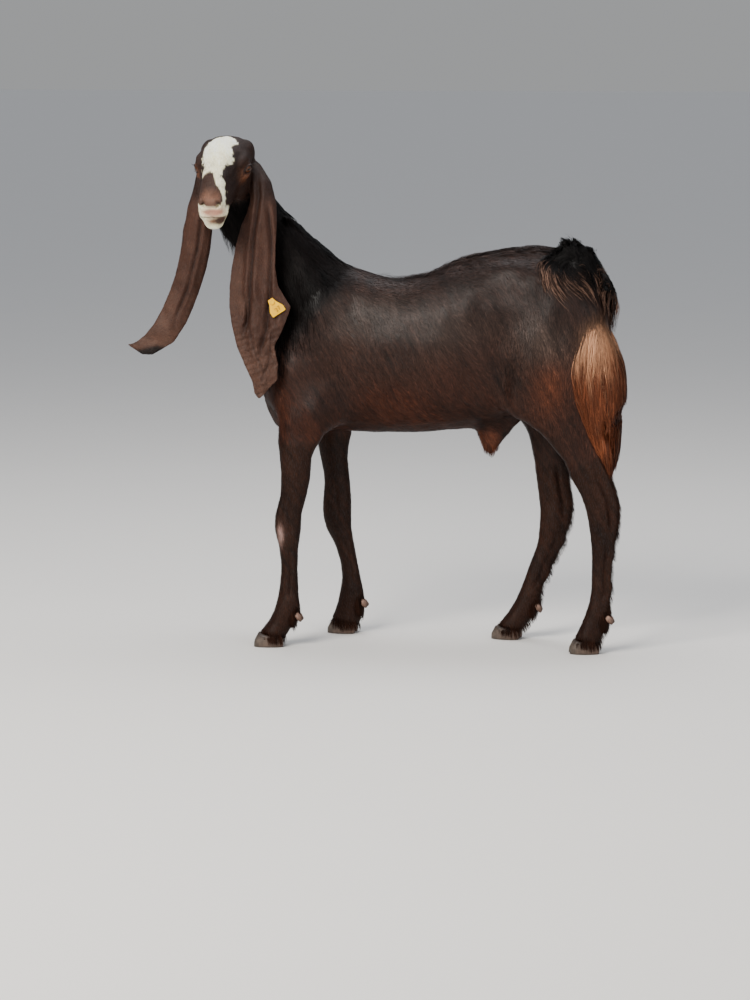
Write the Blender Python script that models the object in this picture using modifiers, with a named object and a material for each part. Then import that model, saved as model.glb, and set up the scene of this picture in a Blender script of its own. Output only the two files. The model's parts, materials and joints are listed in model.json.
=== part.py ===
# Still, life-size model of a young long-eared billy goat, standing square with
# its head turned to its left. Metres, +Z up. The goat faces -X, its left side
# is at -Y, and the soles of its hooves are at z = 0.

import math
import random

import bmesh
import bpy
import numpy as np
from mathutils import Matrix, Vector
from mathutils.bvhtree import BVHTree

# Driving dimensions
WITHERS = 0.807            # height of the shoulders
HIP = 0.849                # height of the croup, a little above the shoulders
BELLY = 0.446              # height of the lowest line of the chest
BARREL = 0.120             # half the width of the ribs
GAP = 0.0003               # left open between two nodes that touch
LEG_CUT = 0.440            # height at which the forelegs leave the torso
CORONET = 0.024            # height of the top of a claw at its middle
CORONET_TILT = math.radians(12)
SOLE_LENGTH = 0.062
FINE = 0.004               # voxel that fuses the forms of the body
FINE_HEAD = 0.0032

EYE_MID = Vector((-0.305, -0.100, 1.006))   # half way between the eyes
HEAD_YAW = math.radians(-90.5)               # the head looks out over its left side
HEAD_PITCH = math.radians(25)
EYE_SPREAD = 0.0585                         # corner of the lids from the middle of the head
EYE_RADIUS = 0.0140
EAR_THICK = 0.0042

LOCK_STEPS = {"breech": 4, "crest": 3, "tail": 3}
TRUNK_TRIANGLES = 1900
LEG_TRIANGLES = 300
HEAD_TRIANGLES = 950
SEED = 11
NUDGES = 9                 # how often a cut or join is tried
NUDGE = 0.00002
TOUCHING = 0.000003        # points nearer than this count as touching
KEPT = 0.6                 # least share of a piece that is left once it is cleared of its neighbour


# Clearing the startup scene
for old in list(bpy.data.objects):
    bpy.data.objects.remove(old, do_unlink=True)

goat = bpy.data.collections.new("billy_goat")
bpy.context.scene.collection.children.link(goat)
tools = bpy.data.collections.new("cutters")
bpy.context.scene.collection.children.link(tools)


def finish_of(name, colour, roughness):
    material = bpy.data.materials.new(name)
    material.use_nodes = True
    shader = material.node_tree.nodes["Principled BSDF"]
    shader.inputs["Base Color"].default_value = (*colour, 1)
    shader.inputs["Roughness"].default_value = roughness
    shader.inputs["Metallic"].default_value = 0.0
    return material


COLOURS = {
    "coat": ((0.022, 0.014, 0.011), 0.5),
    "neck_coat": ((0.010, 0.008, 0.008), 0.6),
    "face": ((0.060, 0.028, 0.018), 0.6),
    "ear": ((0.085, 0.045, 0.036), 0.65),
    "tail": ((0.006, 0.005, 0.005), 0.5),
    "leg": ((0.016, 0.010, 0.009), 0.55),
    "horn": ((0.060, 0.045, 0.040), 0.45),
    "dewclaw": ((0.450, 0.330, 0.270), 0.5),
    "eye": ((0.020, 0.012, 0.008), 0.08),
    "sheath": ((0.110, 0.040, 0.022), 0.6),
    "tag": ((0.850, 0.560, 0.020), 0.35),
}


# Small mesh helpers
def smooth_table(rows, keys):
    """Rows of numbers whose first is the key, read at the keys by a cubic through them."""
    rows = np.array(sorted(rows), float)
    x, y = rows[:, 0], rows[:, 1:]
    slope = np.gradient(y, x, axis=0)
    out = []
    for key in keys:
        i = int(np.clip(np.searchsorted(x, key) - 1, 0, len(x) - 2))
        h = x[i + 1] - x[i]
        t = (key - x[i]) / h
        out.append((2 * t**3 - 3 * t**2 + 1) * y[i] + (t**3 - 2 * t**2 + t) * h * slope[i]
                   + (3 * t**2 - 2 * t**3) * y[i + 1] + (t**3 - t**2) * h * slope[i + 1])
    return out


def new_object(name, bm, collection=None):
    mesh = bpy.data.meshes.new(name)
    bm.to_mesh(mesh)
    bm.free()
    obj = bpy.data.objects.new(name, mesh)
    (collection or goat).objects.link(obj)
    return obj


def loft(name, rings, collection=None, tip=None):
    """Closed skin through rings of equal count, flat at its ends or drawn to a tip."""
    bm = bmesh.new()
    loops = [[bm.verts.new(p) for p in ring] for ring in rings]
    count = len(loops[0])
    for a, b in zip(loops, loops[1:]):
        for i in range(count):
            j = (i + 1) % count
            bm.faces.new((a[i], a[j], b[j], b[i]))
    bm.faces.new(loops[0][::-1])
    if tip is None:
        bm.faces.new(loops[-1])
    else:
        point = bm.verts.new(tip)
        for i in range(count):
            bm.faces.new((loops[-1][i], loops[-1][(i + 1) % count], point))
    bm.normal_update()
    bmesh.ops.triangulate(bm, faces=bm.faces[:])
    bmesh.ops.recalc_face_normals(bm, faces=bm.faces[:])
    return new_object(name, bm, collection)


def ball(name, centre, radii, turn=None, collection=None, segments=24):
    """An ellipsoid, turned by a matrix about its own centre."""
    bm = bmesh.new()
    bmesh.ops.create_uvsphere(bm, u_segments=segments, v_segments=segments // 2, radius=1.0)
    place = Matrix.Translation(centre) @ (turn or Matrix()).to_4x4() @ Matrix.Diagonal((*radii, 1))
    bmesh.ops.transform(bm, matrix=place, verts=bm.verts[:])
    bmesh.ops.triangulate(bm, faces=bm.faces[:])
    return new_object(name, bm, collection)


def prism(name, outline, low, high, frame=None):
    """A flat outline drawn out along the third axis of its frame, kept as a cutter."""
    bm = bmesh.new()
    frame = frame or Matrix()
    bottom = [bm.verts.new(frame @ Vector((a, b, low))) for a, b in outline]
    top = [bm.verts.new(frame @ Vector((a, b, high))) for a, b in outline]
    count = len(outline)
    for i in range(count):
        j = (i + 1) % count
        bm.faces.new((bottom[i], bottom[j], top[j], top[i]))
    bm.faces.new(bottom[::-1])
    bm.faces.new(top)
    bm.normal_update()
    bmesh.ops.triangulate(bm, faces=bm.faces[:])
    bmesh.ops.recalc_face_normals(bm, faces=bm.faces[:])
    obj = new_object(name, bm, tools)
    obj.hide_render = True
    obj.display_type = "WIRE"
    return obj


def evaluated(obj):
    """The object's mesh with its modifiers applied, in place of the object's own."""
    graph = bpy.context.evaluated_depsgraph_get()
    mesh = bpy.data.meshes.new_from_object(obj.evaluated_get(graph))
    old = obj.data
    obj.modifiers.clear()
    obj.data = mesh
    if old.users == 0:
        bpy.data.meshes.remove(old)
    return obj


def remove(*objects):
    for obj in objects:
        bpy.data.objects.remove(obj, do_unlink=True)


def copy_of(obj, name):
    twin = bpy.data.objects.new(name, obj.data.copy())
    goat.objects.link(twin)
    return twin


def fuse_forms(name, forms, voxel, rounds, broad_rounds=0):
    """Joins overlapping closed forms into one smooth skin, the trunk smoother than legs and head."""
    bm = bmesh.new()
    for form in forms:
        bm.from_mesh(form.data)
    remove(*forms)
    whole = new_object(name, bm)
    grid = whole.modifiers.new("fuse", "REMESH")
    grid.mode = "VOXEL"
    grid.voxel_size = voxel
    soften = whole.modifiers.new("soften", "SMOOTH")
    soften.factor = 0.5
    soften.iterations = rounds
    evaluated(whole)
    if broad_rounds:
        group = whole.vertex_groups.new(name="trunk")
        for vert in whole.data.vertices:
            x, y, z = vert.co
            above_legs = min(1.0, max(0.0, (z - 0.43) / 0.08))
            below_head = min(1.0, max(0.0, (0.93 - z) / 0.06))
            group.add([vert.index], above_legs * below_head, "REPLACE")
        broad = whole.modifiers.new("broad", "SMOOTH")
        broad.vertex_group = "trunk"
        broad.factor = 0.5
        broad.iterations = broad_rounds
        evaluated(whole)
        whole.vertex_groups.clear()
    return whole


def thin_out(obj, triangles):
    """Decimates to about the count of triangles named."""
    count = sum(len(p.vertices) - 2 for p in obj.data.polygons)
    fewer = obj.modifiers.new("fewer", "DECIMATE")
    fewer.ratio = min(1.0, triangles / count)
    fewer.use_collapse_triangulate = True
    return evaluated(obj)


def keep_largest(obj):
    """Drops every loose scrap but the closed surface with the most volume."""
    bm = bmesh.new()
    bm.from_mesh(obj.data)
    bm.verts.ensure_lookup_table()
    seen, best, size = set(), None, -1.0
    for start in bm.verts:
        if start in seen:
            continue
        island, queue = set(), [start]
        while queue:
            vert = queue.pop()
            if vert in island:
                continue
            island.add(vert)
            queue.extend(e.other_vert(vert) for e in vert.link_edges)
        seen |= island
        faces = {f for v in island for f in v.link_faces}
        volume = abs(sum(f.verts[0].co.dot(f.verts[1].co.cross(f.verts[2].co))
                         for f in faces if len(f.verts) == 3))
        if volume > size:
            best, size = island, volume
    bmesh.ops.delete(bm, geom=[v for v in bm.verts if v not in best], context="VERTS")
    bm.to_mesh(obj.data)
    bm.free()
    return obj


def half(obj, point, normal):
    """Keeps the side that the normal points to, closed with a flat face."""
    bm = bmesh.new()
    bm.from_mesh(obj.data)
    bmesh.ops.bisect_plane(bm, geom=bm.verts[:] + bm.edges[:] + bm.faces[:], dist=1e-7,
                           plane_co=point, plane_no=normal, clear_inner=True)
    rim = [e for e in bm.edges if e.is_boundary]
    if rim:
        bmesh.ops.edgeloop_fill(bm, edges=rim)
    bmesh.ops.dissolve_degenerate(bm, dist=0.00001, edges=bm.edges[:])
    bm.normal_update()
    bmesh.ops.triangulate(bm, faces=bm.faces[:])
    bmesh.ops.recalc_face_normals(bm, faces=bm.faces[:])
    bm.to_mesh(obj.data)
    bm.free()
    return obj


def volume_of(obj):
    bm = bmesh.new()
    bm.from_mesh(obj.data)
    volume = bm.calc_volume(signed=True)
    bm.free()
    return volume


def boolean(obj, other, operation, share=0.0):
    """Cuts or joins; tries again with the other shape nudged a little where the result is not sound.

    The share is the least part of its volume that the object keeps.
    """
    group = isinstance(other, bpy.types.Collection)
    shapes = list(other.objects) if group else [other]
    start = obj.data.copy()
    least = share * volume_of(obj)
    for attempt in range(NUDGES):
        step = obj.modifiers.new(operation.lower(), "BOOLEAN")
        step.operation = operation
        step.solver = "EXACT" if attempt % 3 < 2 else "MANIFOLD"
        if group:
            step.operand_type = "COLLECTION"
            step.collection = other
        else:
            step.object = other
        evaluated(obj)
        if (tidy_mesh(obj) and volume_of(obj) >= least) or attempt == NUDGES - 1:
            break
        obj.data = start.copy()
        nudge = Vector((0.7, -0.4, 0.6)) * NUDGE * (attempt + 1) * (-1) ** attempt
        for shape in shapes:
            shape.data.transform(Matrix.Translation(nudge))
    return obj


def tidy_mesh(obj):
    """Leaves triangles only and closes slivers up; says whether the surface is closed and touches nowhere."""
    folded = math.radians(179.6)
    for merge in (0.00005, 0.00002, 0.00001):
        bm = bmesh.new()
        bm.from_mesh(obj.data)
        bmesh.ops.dissolve_degenerate(bm, dist=merge, edges=bm.edges[:])
        bm.normal_update()
        bmesh.ops.triangulate(bm, faces=bm.faces[:])
        bm.normal_update()
        sound = len(bm.faces) > 0 and all(
            len(edge.link_faces) == 2 and edge.calc_face_angle() < folded for edge in bm.edges)
        sound = sound and not bmesh.ops.find_doubles(bm, verts=bm.verts[:], dist=TOUCHING)["targetmap"]
        if sound:
            bm.to_mesh(obj.data)
        bm.free()
        if sound:
            return True
    return False


def add_to(obj, pieces):
    """Fuses the closed pieces into the object with one union."""
    group = bpy.data.collections.new("pieces")
    bpy.context.scene.collection.children.link(group)
    for piece in pieces:
        for owner in list(piece.users_collection):
            owner.objects.unlink(piece)
        group.objects.link(piece)
    boolean(obj, group, "UNION", 1.0)
    remove(*list(group.objects))
    bpy.data.collections.remove(group)
    return keep_largest(obj)


def dress(obj, colour):
    if colour not in bpy.data.materials:
        finish_of(colour, *COLOURS[colour])
    obj.data.materials.clear()
    obj.data.materials.append(bpy.data.materials[colour])
    obj.data.shade_flat()
    return obj


# Forms of the body
def slice_form(name, rows, across=28, power=1.0, density=3):
    """Level slices: height, front, back, inner and outer side, made round."""
    heights = np.linspace(min(r[0] for r in rows), max(r[0] for r in rows), density * len(rows))
    rings = []
    for z, (front, back, inner, outer) in zip(heights, smooth_table(rows, heights)):
        ring = []
        for i in range(across):
            a = 2 * math.pi * i / across
            c, s = math.cos(a), math.sin(a)
            ring.append(((front + back) / 2 + (back - front) / 2 * math.copysign(abs(c)**power, c),
                         (inner + outer) / 2 + (outer - inner) / 2 * math.copysign(abs(s)**power, s), z))
        rings.append(ring)
    return loft(name, rings)


def torso_form():
    """Upright slices from brisket to buttock: place, belly, back, half width, height of the widest part."""
    rows = [(-0.240, 0.520, 0.640, 0.040, 0.58), (-0.220, 0.462, 0.720, 0.066, 0.60),
            (-0.185, BELLY, 0.772, 0.084, 0.62), (-0.120, BELLY + 0.001, 0.800, 0.094, 0.62),
            (-0.060, BELLY + 0.002, WITHERS - 0.003, 0.100, 0.62), (-0.010, BELLY, 0.788, 0.106, 0.61),
            (0.050, BELLY, 0.776, 0.114, 0.60), (0.100, BELLY + 0.002, 0.784, BARREL - 0.001, 0.61),
            (0.160, 0.453, 0.806, BARREL, 0.62), (0.220, 0.460, 0.826, 0.113, 0.64),
            (0.280, 0.474, 0.836, 0.101, 0.67), (0.340, 0.498, HIP - 0.008, 0.092, 0.69),
            (0.390, 0.515, 0.834, 0.083, 0.69), (0.440, 0.535, 0.803, 0.068, 0.67),
            (0.478, 0.560, 0.745, 0.050, 0.65), (0.500, 0.600, 0.690, 0.026, 0.645)]
    places = np.linspace(-0.240, 0.500, 56)
    rings = []
    for x, (low, high, wide, middle) in zip(places, smooth_table(rows, places)):
        ring = []
        for i in range(36):
            a = 2 * math.pi * i / 36
            c, s = math.cos(a), math.sin(a)
            rise = (high - middle) * abs(c)**0.92 if c > 0 else -(middle - low) * abs(c)**1.05
            ring.append((x, wide * math.copysign(abs(s)**0.96, s), middle + rise))
        rings.append(ring)
    return loft("torso_form", rings)


def neck_form():
    """Level slices through the neck: height, throat, nape, right and left side."""
    return slice_form("neck_form", [
        (0.500, -0.225, -0.120, 0.060, -0.060), (0.560, -0.240, -0.080, 0.076, -0.076),
        (0.640, -0.252, -0.050, 0.080, -0.080), (0.720, -0.268, -0.045, 0.074, -0.075),
        (0.780, -0.280, -0.050, 0.062, -0.064), (0.816, -0.286, -0.078, 0.056, -0.060),
        (0.838, -0.297, -0.108, 0.053, -0.059), (0.856, -0.322, -0.131, 0.051, -0.058),
        (0.885, -0.338, -0.163, 0.049, -0.058), (0.920, -0.341, -0.198, 0.047, -0.058),
        (0.955, -0.340, -0.221, 0.046, -0.058), (0.990, -0.340, -0.238, 0.042, -0.056),
        (1.025, -0.335, -0.262, 0.026, -0.048)])


def shoulder_forms(side):
    """Shoulder blade and upper arm of one side; side is -1 on the left."""
    shift = 0.012 if side > 0 else 0.0
    blade = ball("blade", (-0.095 + shift, side * 0.054, 0.665), (0.066, 0.042, 0.140),
                 Matrix.Rotation(math.radians(-18), 3, "Y"))
    point = ball("point", (-0.160 + shift, side * 0.054, 0.560), (0.066, 0.046, 0.082),
                 Matrix.Rotation(math.radians(20), 3, "Y"))
    arm = ball("arm", (-0.125 + shift, side * 0.066, 0.522), (0.082, 0.038, 0.074),
               Matrix.Rotation(math.radians(35), 3, "Y"))
    return [blade, point, arm]


# Level slices of each leg: height, front, back, inner side, outer side
FORE_LEFT = [
    (0.540, -0.200, -0.060, -0.045, -0.104), (0.500, -0.203, -0.066, -0.050, -0.108),
    (0.460, -0.199, -0.084, -0.056, -0.111), (0.415, -0.193, -0.116, -0.062, -0.112),
    (0.354, -0.189, -0.124, -0.067, -0.111), (0.310, -0.193, -0.134, -0.068, -0.111),
    (0.286, -0.200, -0.141, -0.067, -0.112), (0.262, -0.203, -0.143, -0.067, -0.113),
    (0.243, -0.202, -0.144, -0.068, -0.113), (0.215, -0.194, -0.148, -0.071, -0.110),
    (0.186, -0.190, -0.150, -0.073, -0.108), (0.130, -0.192, -0.150, -0.073, -0.109),
    (0.100, -0.197, -0.148, -0.071, -0.112), (0.079, -0.202, -0.146, -0.069, -0.116),
    (0.055, -0.213, -0.156, -0.071, -0.118), (0.036, -0.228, -0.168, -0.072, -0.121),
    (0.018, -0.240, -0.176, -0.072, -0.124)]
FORE_RIGHT = [
    (0.540, -0.180, -0.040, 0.045, 0.100), (0.500, -0.172, -0.044, 0.047, 0.102),
    (0.450, -0.146, -0.056, 0.050, 0.103), (0.395, -0.133, -0.068, 0.052, 0.101),
    (0.332, -0.122, -0.063, 0.052, 0.096), (0.295, -0.124, -0.060, 0.052, 0.096),
    (0.263, -0.126, -0.060, 0.052, 0.097), (0.230, -0.119, -0.060, 0.053, 0.096),
    (0.200, -0.103, -0.055, 0.056, 0.093), (0.161, -0.089, -0.048, 0.058, 0.093),
    (0.120, -0.084, -0.040, 0.058, 0.094), (0.100, -0.086, -0.036, 0.056, 0.097),
    (0.079, -0.090, -0.034, 0.054, 0.100), (0.055, -0.096, -0.036, 0.055, 0.102),
    (0.036, -0.104, -0.040, 0.054, 0.105), (0.018, -0.112, -0.044, 0.053, 0.107)]
HIND_LEFT = [
    (0.800, 0.300, 0.455, -0.020, -0.082), (0.740, 0.268, 0.486, -0.015, -0.100),
    (0.670, 0.256, 0.499, -0.013, -0.113), (0.600, 0.258, 0.499, -0.015, -0.118),
    (0.540, 0.272, 0.494, -0.020, -0.114), (0.492, 0.310, 0.492, -0.030, -0.108),
    (0.450, 0.362, 0.498, -0.045, -0.105), (0.410, 0.398, 0.505, -0.058, -0.105),
    (0.370, 0.420, 0.512, -0.067, -0.106), (0.335, 0.442, 0.524, -0.071, -0.107),
    (0.308, 0.452, 0.530, -0.073, -0.107), (0.281, 0.458, 0.529, -0.074, -0.107),
    (0.250, 0.463, 0.524, -0.076, -0.105), (0.215, 0.466, 0.515, -0.077, -0.103),
    (0.172, 0.467, 0.510, -0.077, -0.102), (0.117, 0.464, 0.510, -0.075, -0.103),
    (0.087, 0.457, 0.511, -0.071, -0.106), (0.060, 0.447, 0.504, -0.070, -0.109),
    (0.038, 0.437, 0.494, -0.066, -0.112), (0.018, 0.430, 0.488, -0.062, -0.114)]
HIND_RIGHT = [
    (0.800, 0.300, 0.455, 0.020, 0.082), (0.740, 0.262, 0.484, 0.015, 0.100),
    (0.670, 0.246, 0.496, 0.013, 0.113), (0.600, 0.246, 0.492, 0.015, 0.117),
    (0.540, 0.255, 0.480, 0.018, 0.110), (0.492, 0.285, 0.462, 0.024, 0.100),
    (0.442, 0.317, 0.436, 0.032, 0.092), (0.400, 0.328, 0.418, 0.036, 0.086),
    (0.360, 0.335, 0.410, 0.040, 0.083), (0.331, 0.339, 0.413, 0.041, 0.082),
    (0.300, 0.343, 0.419, 0.042, 0.081), (0.272, 0.345, 0.419, 0.042, 0.081),
    (0.243, 0.344, 0.411, 0.042, 0.079), (0.203, 0.339, 0.393, 0.043, 0.077),
    (0.163, 0.324, 0.374, 0.042, 0.076), (0.108, 0.305, 0.354, 0.040, 0.077),
    (0.080, 0.294, 0.350, 0.037, 0.079), (0.055, 0.278, 0.337, 0.036, 0.081),
    (0.036, 0.263, 0.324, 0.034, 0.083), (0.018, 0.250, 0.312, 0.032, 0.085)]

# Places of the four feet: middle of the sole, and the heading of the toe about Z
FEET = {
    "fore_left": (Vector((-0.211, -0.099, 0)), math.radians(188)),
    "fore_right": (Vector((-0.080, 0.080, 0)), math.radians(176)),
    "hind_left": (Vector((0.457, -0.088, 0)), math.radians(190)),
    "hind_right": (Vector((0.279, 0.058, 0)), math.radians(172)),
}


def hip_forms():
    """The points of hip and pin on both sides, and the root of the tail."""
    forms = []
    for side in (-1, 1):
        forms.append(ball("hip_bone", (0.300, side * 0.058, 0.790), (0.054, 0.024, 0.028)))
        forms.append(ball("pin_bone", (0.472, side * 0.038, 0.700), (0.032, 0.028, 0.042)))
        forms.append(ball("stifle", (0.312 - 0.010 * (side > 0), side * 0.074, 0.540), (0.056, 0.034, 0.050)))
    forms.append(ball("tail_root", (0.432, 0.0, 0.795), (0.034, 0.026, 0.030)))
    forms.append(ball("sheath_root", (0.256, 0.0, 0.478), (0.062, 0.034, 0.024)))
    forms.append(ball("groin", (0.405, 0.0, 0.530), (0.050, 0.040, 0.036)))
    return forms


# The head, modelled along its own axes: forward, to its left, and up
def head_matrix():
    forward = Vector((math.cos(HEAD_YAW) * math.cos(HEAD_PITCH),
                      math.sin(HEAD_YAW) * math.cos(HEAD_PITCH), -math.sin(HEAD_PITCH)))
    left = Vector((-math.sin(HEAD_YAW), math.cos(HEAD_YAW), 0))
    up = forward.cross(left)
    turn = Matrix((forward, left, up)).transposed().to_4x4()
    return Matrix.Translation(EYE_MID) @ turn


HEAD = head_matrix()


def on_head(f, s, u):
    return HEAD @ Vector((f, s, u))


def head_form():
    """Slices from poll to lips: forward, crown, jaw, half width, height of the widest part."""
    rows = [(-0.100, 0.012, -0.030, 0.024, -0.005), (-0.090, 0.028, -0.052, 0.041, -0.006),
            (-0.070, 0.042, -0.070, 0.051, -0.008), (-0.045, 0.051, -0.080, 0.055, -0.008),
            (-0.020, 0.056, -0.080, 0.055, -0.004), (0.005, 0.057, -0.075, 0.051, 0.000),
            (0.030, 0.055, -0.071, 0.044, -0.004), (0.055, 0.051, -0.069, 0.038, -0.010),
            (0.080, 0.045, -0.067, 0.034, -0.015), (0.105, 0.038, -0.067, 0.032, -0.020),
            (0.125, 0.029, -0.066, 0.031, -0.022), (0.140, 0.019, -0.062, 0.029, -0.022),
            (0.150, 0.010, -0.054, 0.024, -0.022), (0.157, -0.002, -0.042, 0.013, -0.022)]
    places = np.linspace(-0.100, 0.157, 40)
    rings = []
    for f, (crown, jaw, wide, middle) in zip(places, smooth_table(rows, places)):
        ring = []
        for i in range(32):
            a = 2 * math.pi * i / 32
            c, s = math.cos(a), math.sin(a)
            rise = (crown - middle) * abs(c)**0.85 if c > 0 else -(middle - jaw) * abs(c)**0.9
            narrow = 1.0 - (0.30 if f < 0.10 else 0.12) * max(0.0, -c)
            ring.append(on_head(f, wide * narrow * math.copysign(abs(s)**0.9, s), middle + rise))
        rings.append(ring)
    return loft("head_form", rings)


def head_forms():
    """Skull, cheeks, brows, lips and chin, to be fused."""
    turn = HEAD.to_3x3()

    def lump(f, s, u, radii):
        return ball("lump", on_head(f, s, u), radii, turn)

    forms = [head_form()]
    for side in (-1, 1):
        forms += [lump(-0.012, side * 0.034, -0.040, (0.048, 0.017, 0.034)),
                  lump(0.000, side * 0.042, 0.022, (0.034, 0.014, 0.014)),
                  lump(0.001, side * 0.0460, 0.002, (0.028, 0.0140, 0.023)),
                  lump(-0.060, side * 0.038, 0.004, (0.036, 0.020, 0.030)),
                  lump(0.137, side * 0.0155, -0.004, (0.019, 0.014, 0.016)),
                  lump(0.134, side * 0.0165, -0.028, (0.022, 0.016, 0.015))]
    forms.append(lump(0.134, 0, -0.0545, (0.020, 0.021, 0.014)))
    return forms


def lid_ring(side):
    """A low raised rim round the opening of one eye."""
    count, sides, rings = 12, 4, []
    centre = Vector((0.001, side * (EYE_SPREAD + 0.0008), 0.004))
    for i in range(count):
        a = 2 * math.pi * i / count
        long, tall = 0.0148 * math.cos(a), 0.0094 * math.sin(a)
        back = -side * 0.0045 * (long / 0.0150)**2
        ring = []
        for j in range(sides):
            b = 2 * math.pi * j / sides
            out = 1 + 0.22 * math.cos(b)
            ring.append(on_head(centre.x + long * out, centre.y + back + side * 0.0024 * math.sin(b),
                                centre.z + tall * out))
        rings.append(ring)
    bm = bmesh.new()
    loops = [[bm.verts.new(p) for p in ring] for ring in rings]
    for i in range(count):
        for j in range(sides):
            a, b = loops[i], loops[(i + 1) % count]
            bm.faces.new((a[j], a[(j + 1) % sides], b[(j + 1) % sides], b[j]))
    bmesh.ops.triangulate(bm, faces=bm.faces[:])
    bmesh.ops.recalc_face_normals(bm, faces=bm.faces[:])
    return new_object("lid", bm)


def eye_centre(side):
    return on_head(0.001, side * (EYE_SPREAD - 0.0135), 0.004)


def eyeball(side, radius, name, collection=None):
    turn = HEAD.to_3x3() @ Matrix.Rotation(math.radians(90), 3, "X")
    return ball(name, eye_centre(side), (radius,) * 3, turn, collection, segments=14)


def as_cutter(obj):
    obj.hide_render = True
    obj.display_type = "WIRE"
    return obj


def carve_face(head):
    """Sockets between the lids, nostrils and the line of the mouth."""
    turn = HEAD.to_3x3()
    for side in (-1, 1):
        socket = as_cutter(eyeball(side, EYE_RADIUS + GAP, "socket", tools))
        boolean(head, socket, "DIFFERENCE")
        opening = as_cutter(ball("opening", on_head(0.001, side * (EYE_SPREAD + 0.004), 0.004),
                                 (0.0128, 0.0100, 0.0074), turn, tools, segments=14))
        boolean(head, opening, "DIFFERENCE")
        nostril = Matrix.Rotation(math.radians(-38), 3, "X") if side > 0 else Matrix.Rotation(math.radians(38), 3, "X")
        hole = as_cutter(ball("nostril", on_head(0.152, side * 0.0150, -0.006),
                              (0.011, 0.0032, 0.0068), turn @ nostril, tools, segments=12))
        boolean(head, hole, "DIFFERENCE")
        remove(socket, opening, hole)
    outline, inner = [], []
    for i in range(9):
        a = math.pi * (i / 8 - 0.5)
        outline.append((0.098 + 0.075 * math.cos(a), 0.045 * math.sin(a)))
        inner.append((0.098 + 0.051 * math.cos(a), 0.0255 * math.sin(a)))
    mouth = prism("mouth", outline + inner[::-1], -0.0382, -0.0364, HEAD)
    boolean(head, mouth, "DIFFERENCE")
    remove(mouth)
    return keep_largest(head)


# Ears: long strips that curl about their length
EAR_LEFT = [   # place along it, height, front and back edge, depth, curl in degrees, ripple
    (0.000, 1.016, -0.2780, -0.2400, -0.0390, 310, 0), (0.050, 0.994, -0.2680, -0.2260, -0.0500, 305, 0),
    (0.095, 0.972, -0.2520, -0.2080, -0.0620, 280, 2), (0.150, 0.942, -0.2500, -0.2000, -0.0740, 240, 4),
    (0.210, 0.908, -0.2630, -0.1955, -0.0900, 180, 10), (0.280, 0.872, -0.2740, -0.1945, -0.1000, 140, 18),
    (0.380, 0.820, -0.2850, -0.1950, -0.1110, 100, 26), (0.500, 0.760, -0.2920, -0.1860, -0.1190, 80, 34),
    (0.570, 0.722, -0.2925, -0.1600, -0.1230, 66, 40), (0.640, 0.690, -0.2880, -0.1690, -0.1260, 66, 40),
    (0.710, 0.650, -0.2800, -0.1930, -0.1280, 76, 34), (0.800, 0.610, -0.2640, -0.1880, -0.1290, 72, 26),
    (0.890, 0.572, -0.2460, -0.1860, -0.1290, 60, 16), (0.960, 0.548, -0.2400, -0.2100, -0.1280, 36, 6),
    (1.000, 0.535, -0.2400, -0.2200, -0.1270, 16, 0)]
EAR_RIGHT = [   # place along it, middle x, depth, height, half width, curl in degrees, ripple
    (0.00, -0.3500, -0.0390, 1.0160, 0.0150, 310, 0), (0.07, -0.3560, -0.0360, 0.9820, 0.0170, 300, 0),
    (0.15, -0.3645, -0.0330, 0.9350, 0.0230, 250, 3), (0.25, -0.3735, -0.0310, 0.8800, 0.0300, 190, 6),
    (0.38, -0.3810, -0.0300, 0.8250, 0.0310, 150, 8), (0.52, -0.3945, -0.0300, 0.7720, 0.0300, 130, 8),
    (0.63, -0.4100, -0.0320, 0.7280, 0.0300, 110, 6), (0.74, -0.4310, -0.0360, 0.6820, 0.0300, 90, 4),
    (0.85, -0.4620, -0.0420, 0.6400, 0.0270, 80, 2), (0.94, -0.5000, -0.0480, 0.6230, 0.0170, 70, 0),
    (1.00, -0.5300, -0.0500, 0.6200, 0.0090, 30, 0)]


def strip_section(turn, ripple, count):
    """Points across a curled strip, by walking along it and turning; from 0 to 1 across."""
    points, place = [(0.0, 0.0)], Vector((0, 0))
    for i in range(count - 1):
        t = (i + 0.5) / (count - 1)
        heading = math.radians(turn) * (t - 0.5) + math.radians(ripple) * math.sin(4.2 * math.pi * t)
        place = place + Vector((math.cos(heading), math.sin(heading)))
        points.append((place.x, place.y))
    points = np.array(points)
    width = np.ptp(points[:, 0])
    points[:, 0] -= points[:, 0].min()
    points[:, 1] -= points[:, 1].min()
    return points / width


def solid_strip(name, grid, thickness):
    """A thin closed solid from a grid of points, split alike on both faces."""
    bm = bmesh.new()
    verts = [[bm.verts.new(p) for p in row] for row in grid]
    for a, b in zip(verts, verts[1:]):
        for i in range(len(a) - 1):
            bm.faces.new((a[i], a[i + 1], b[i + 1]))
            bm.faces.new((a[i], b[i + 1], b[i]))
    sheet = new_object(name, bm)
    thick = sheet.modifiers.new("thick", "SOLIDIFY")
    thick.thickness = thickness
    thick.offset = 0.0
    thick.use_even_offset = False
    evaluated(sheet)
    bm = bmesh.new()
    bm.from_mesh(sheet.data)
    bmesh.ops.triangulate(bm, faces=bm.faces[:])
    bmesh.ops.recalc_face_normals(bm, faces=bm.faces[:])
    bm.to_mesh(sheet.data)
    bm.free()
    return sheet


def left_ear():
    """Hangs straight, in folds; its sections are level."""
    steps = np.concatenate([np.linspace(0, 0.90, 12), [0.95, 0.985]])
    grid = []
    for s, (z, left, right, depth, turn, ripple) in zip(steps, smooth_table(EAR_LEFT, steps)):
        section = strip_section(turn, ripple, 9)
        width = right - left
        deepest = max(section[:, 1])
        sag = 0.012 * (s > 0.8)
        grid.append([(left + a * width, depth + 0.010 - (deepest - b) * width * 0.8,
                      z - sag * math.sin(math.pi * a)) for a, b in section])
    return solid_strip("ear_left", grid, EAR_THICK)


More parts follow.
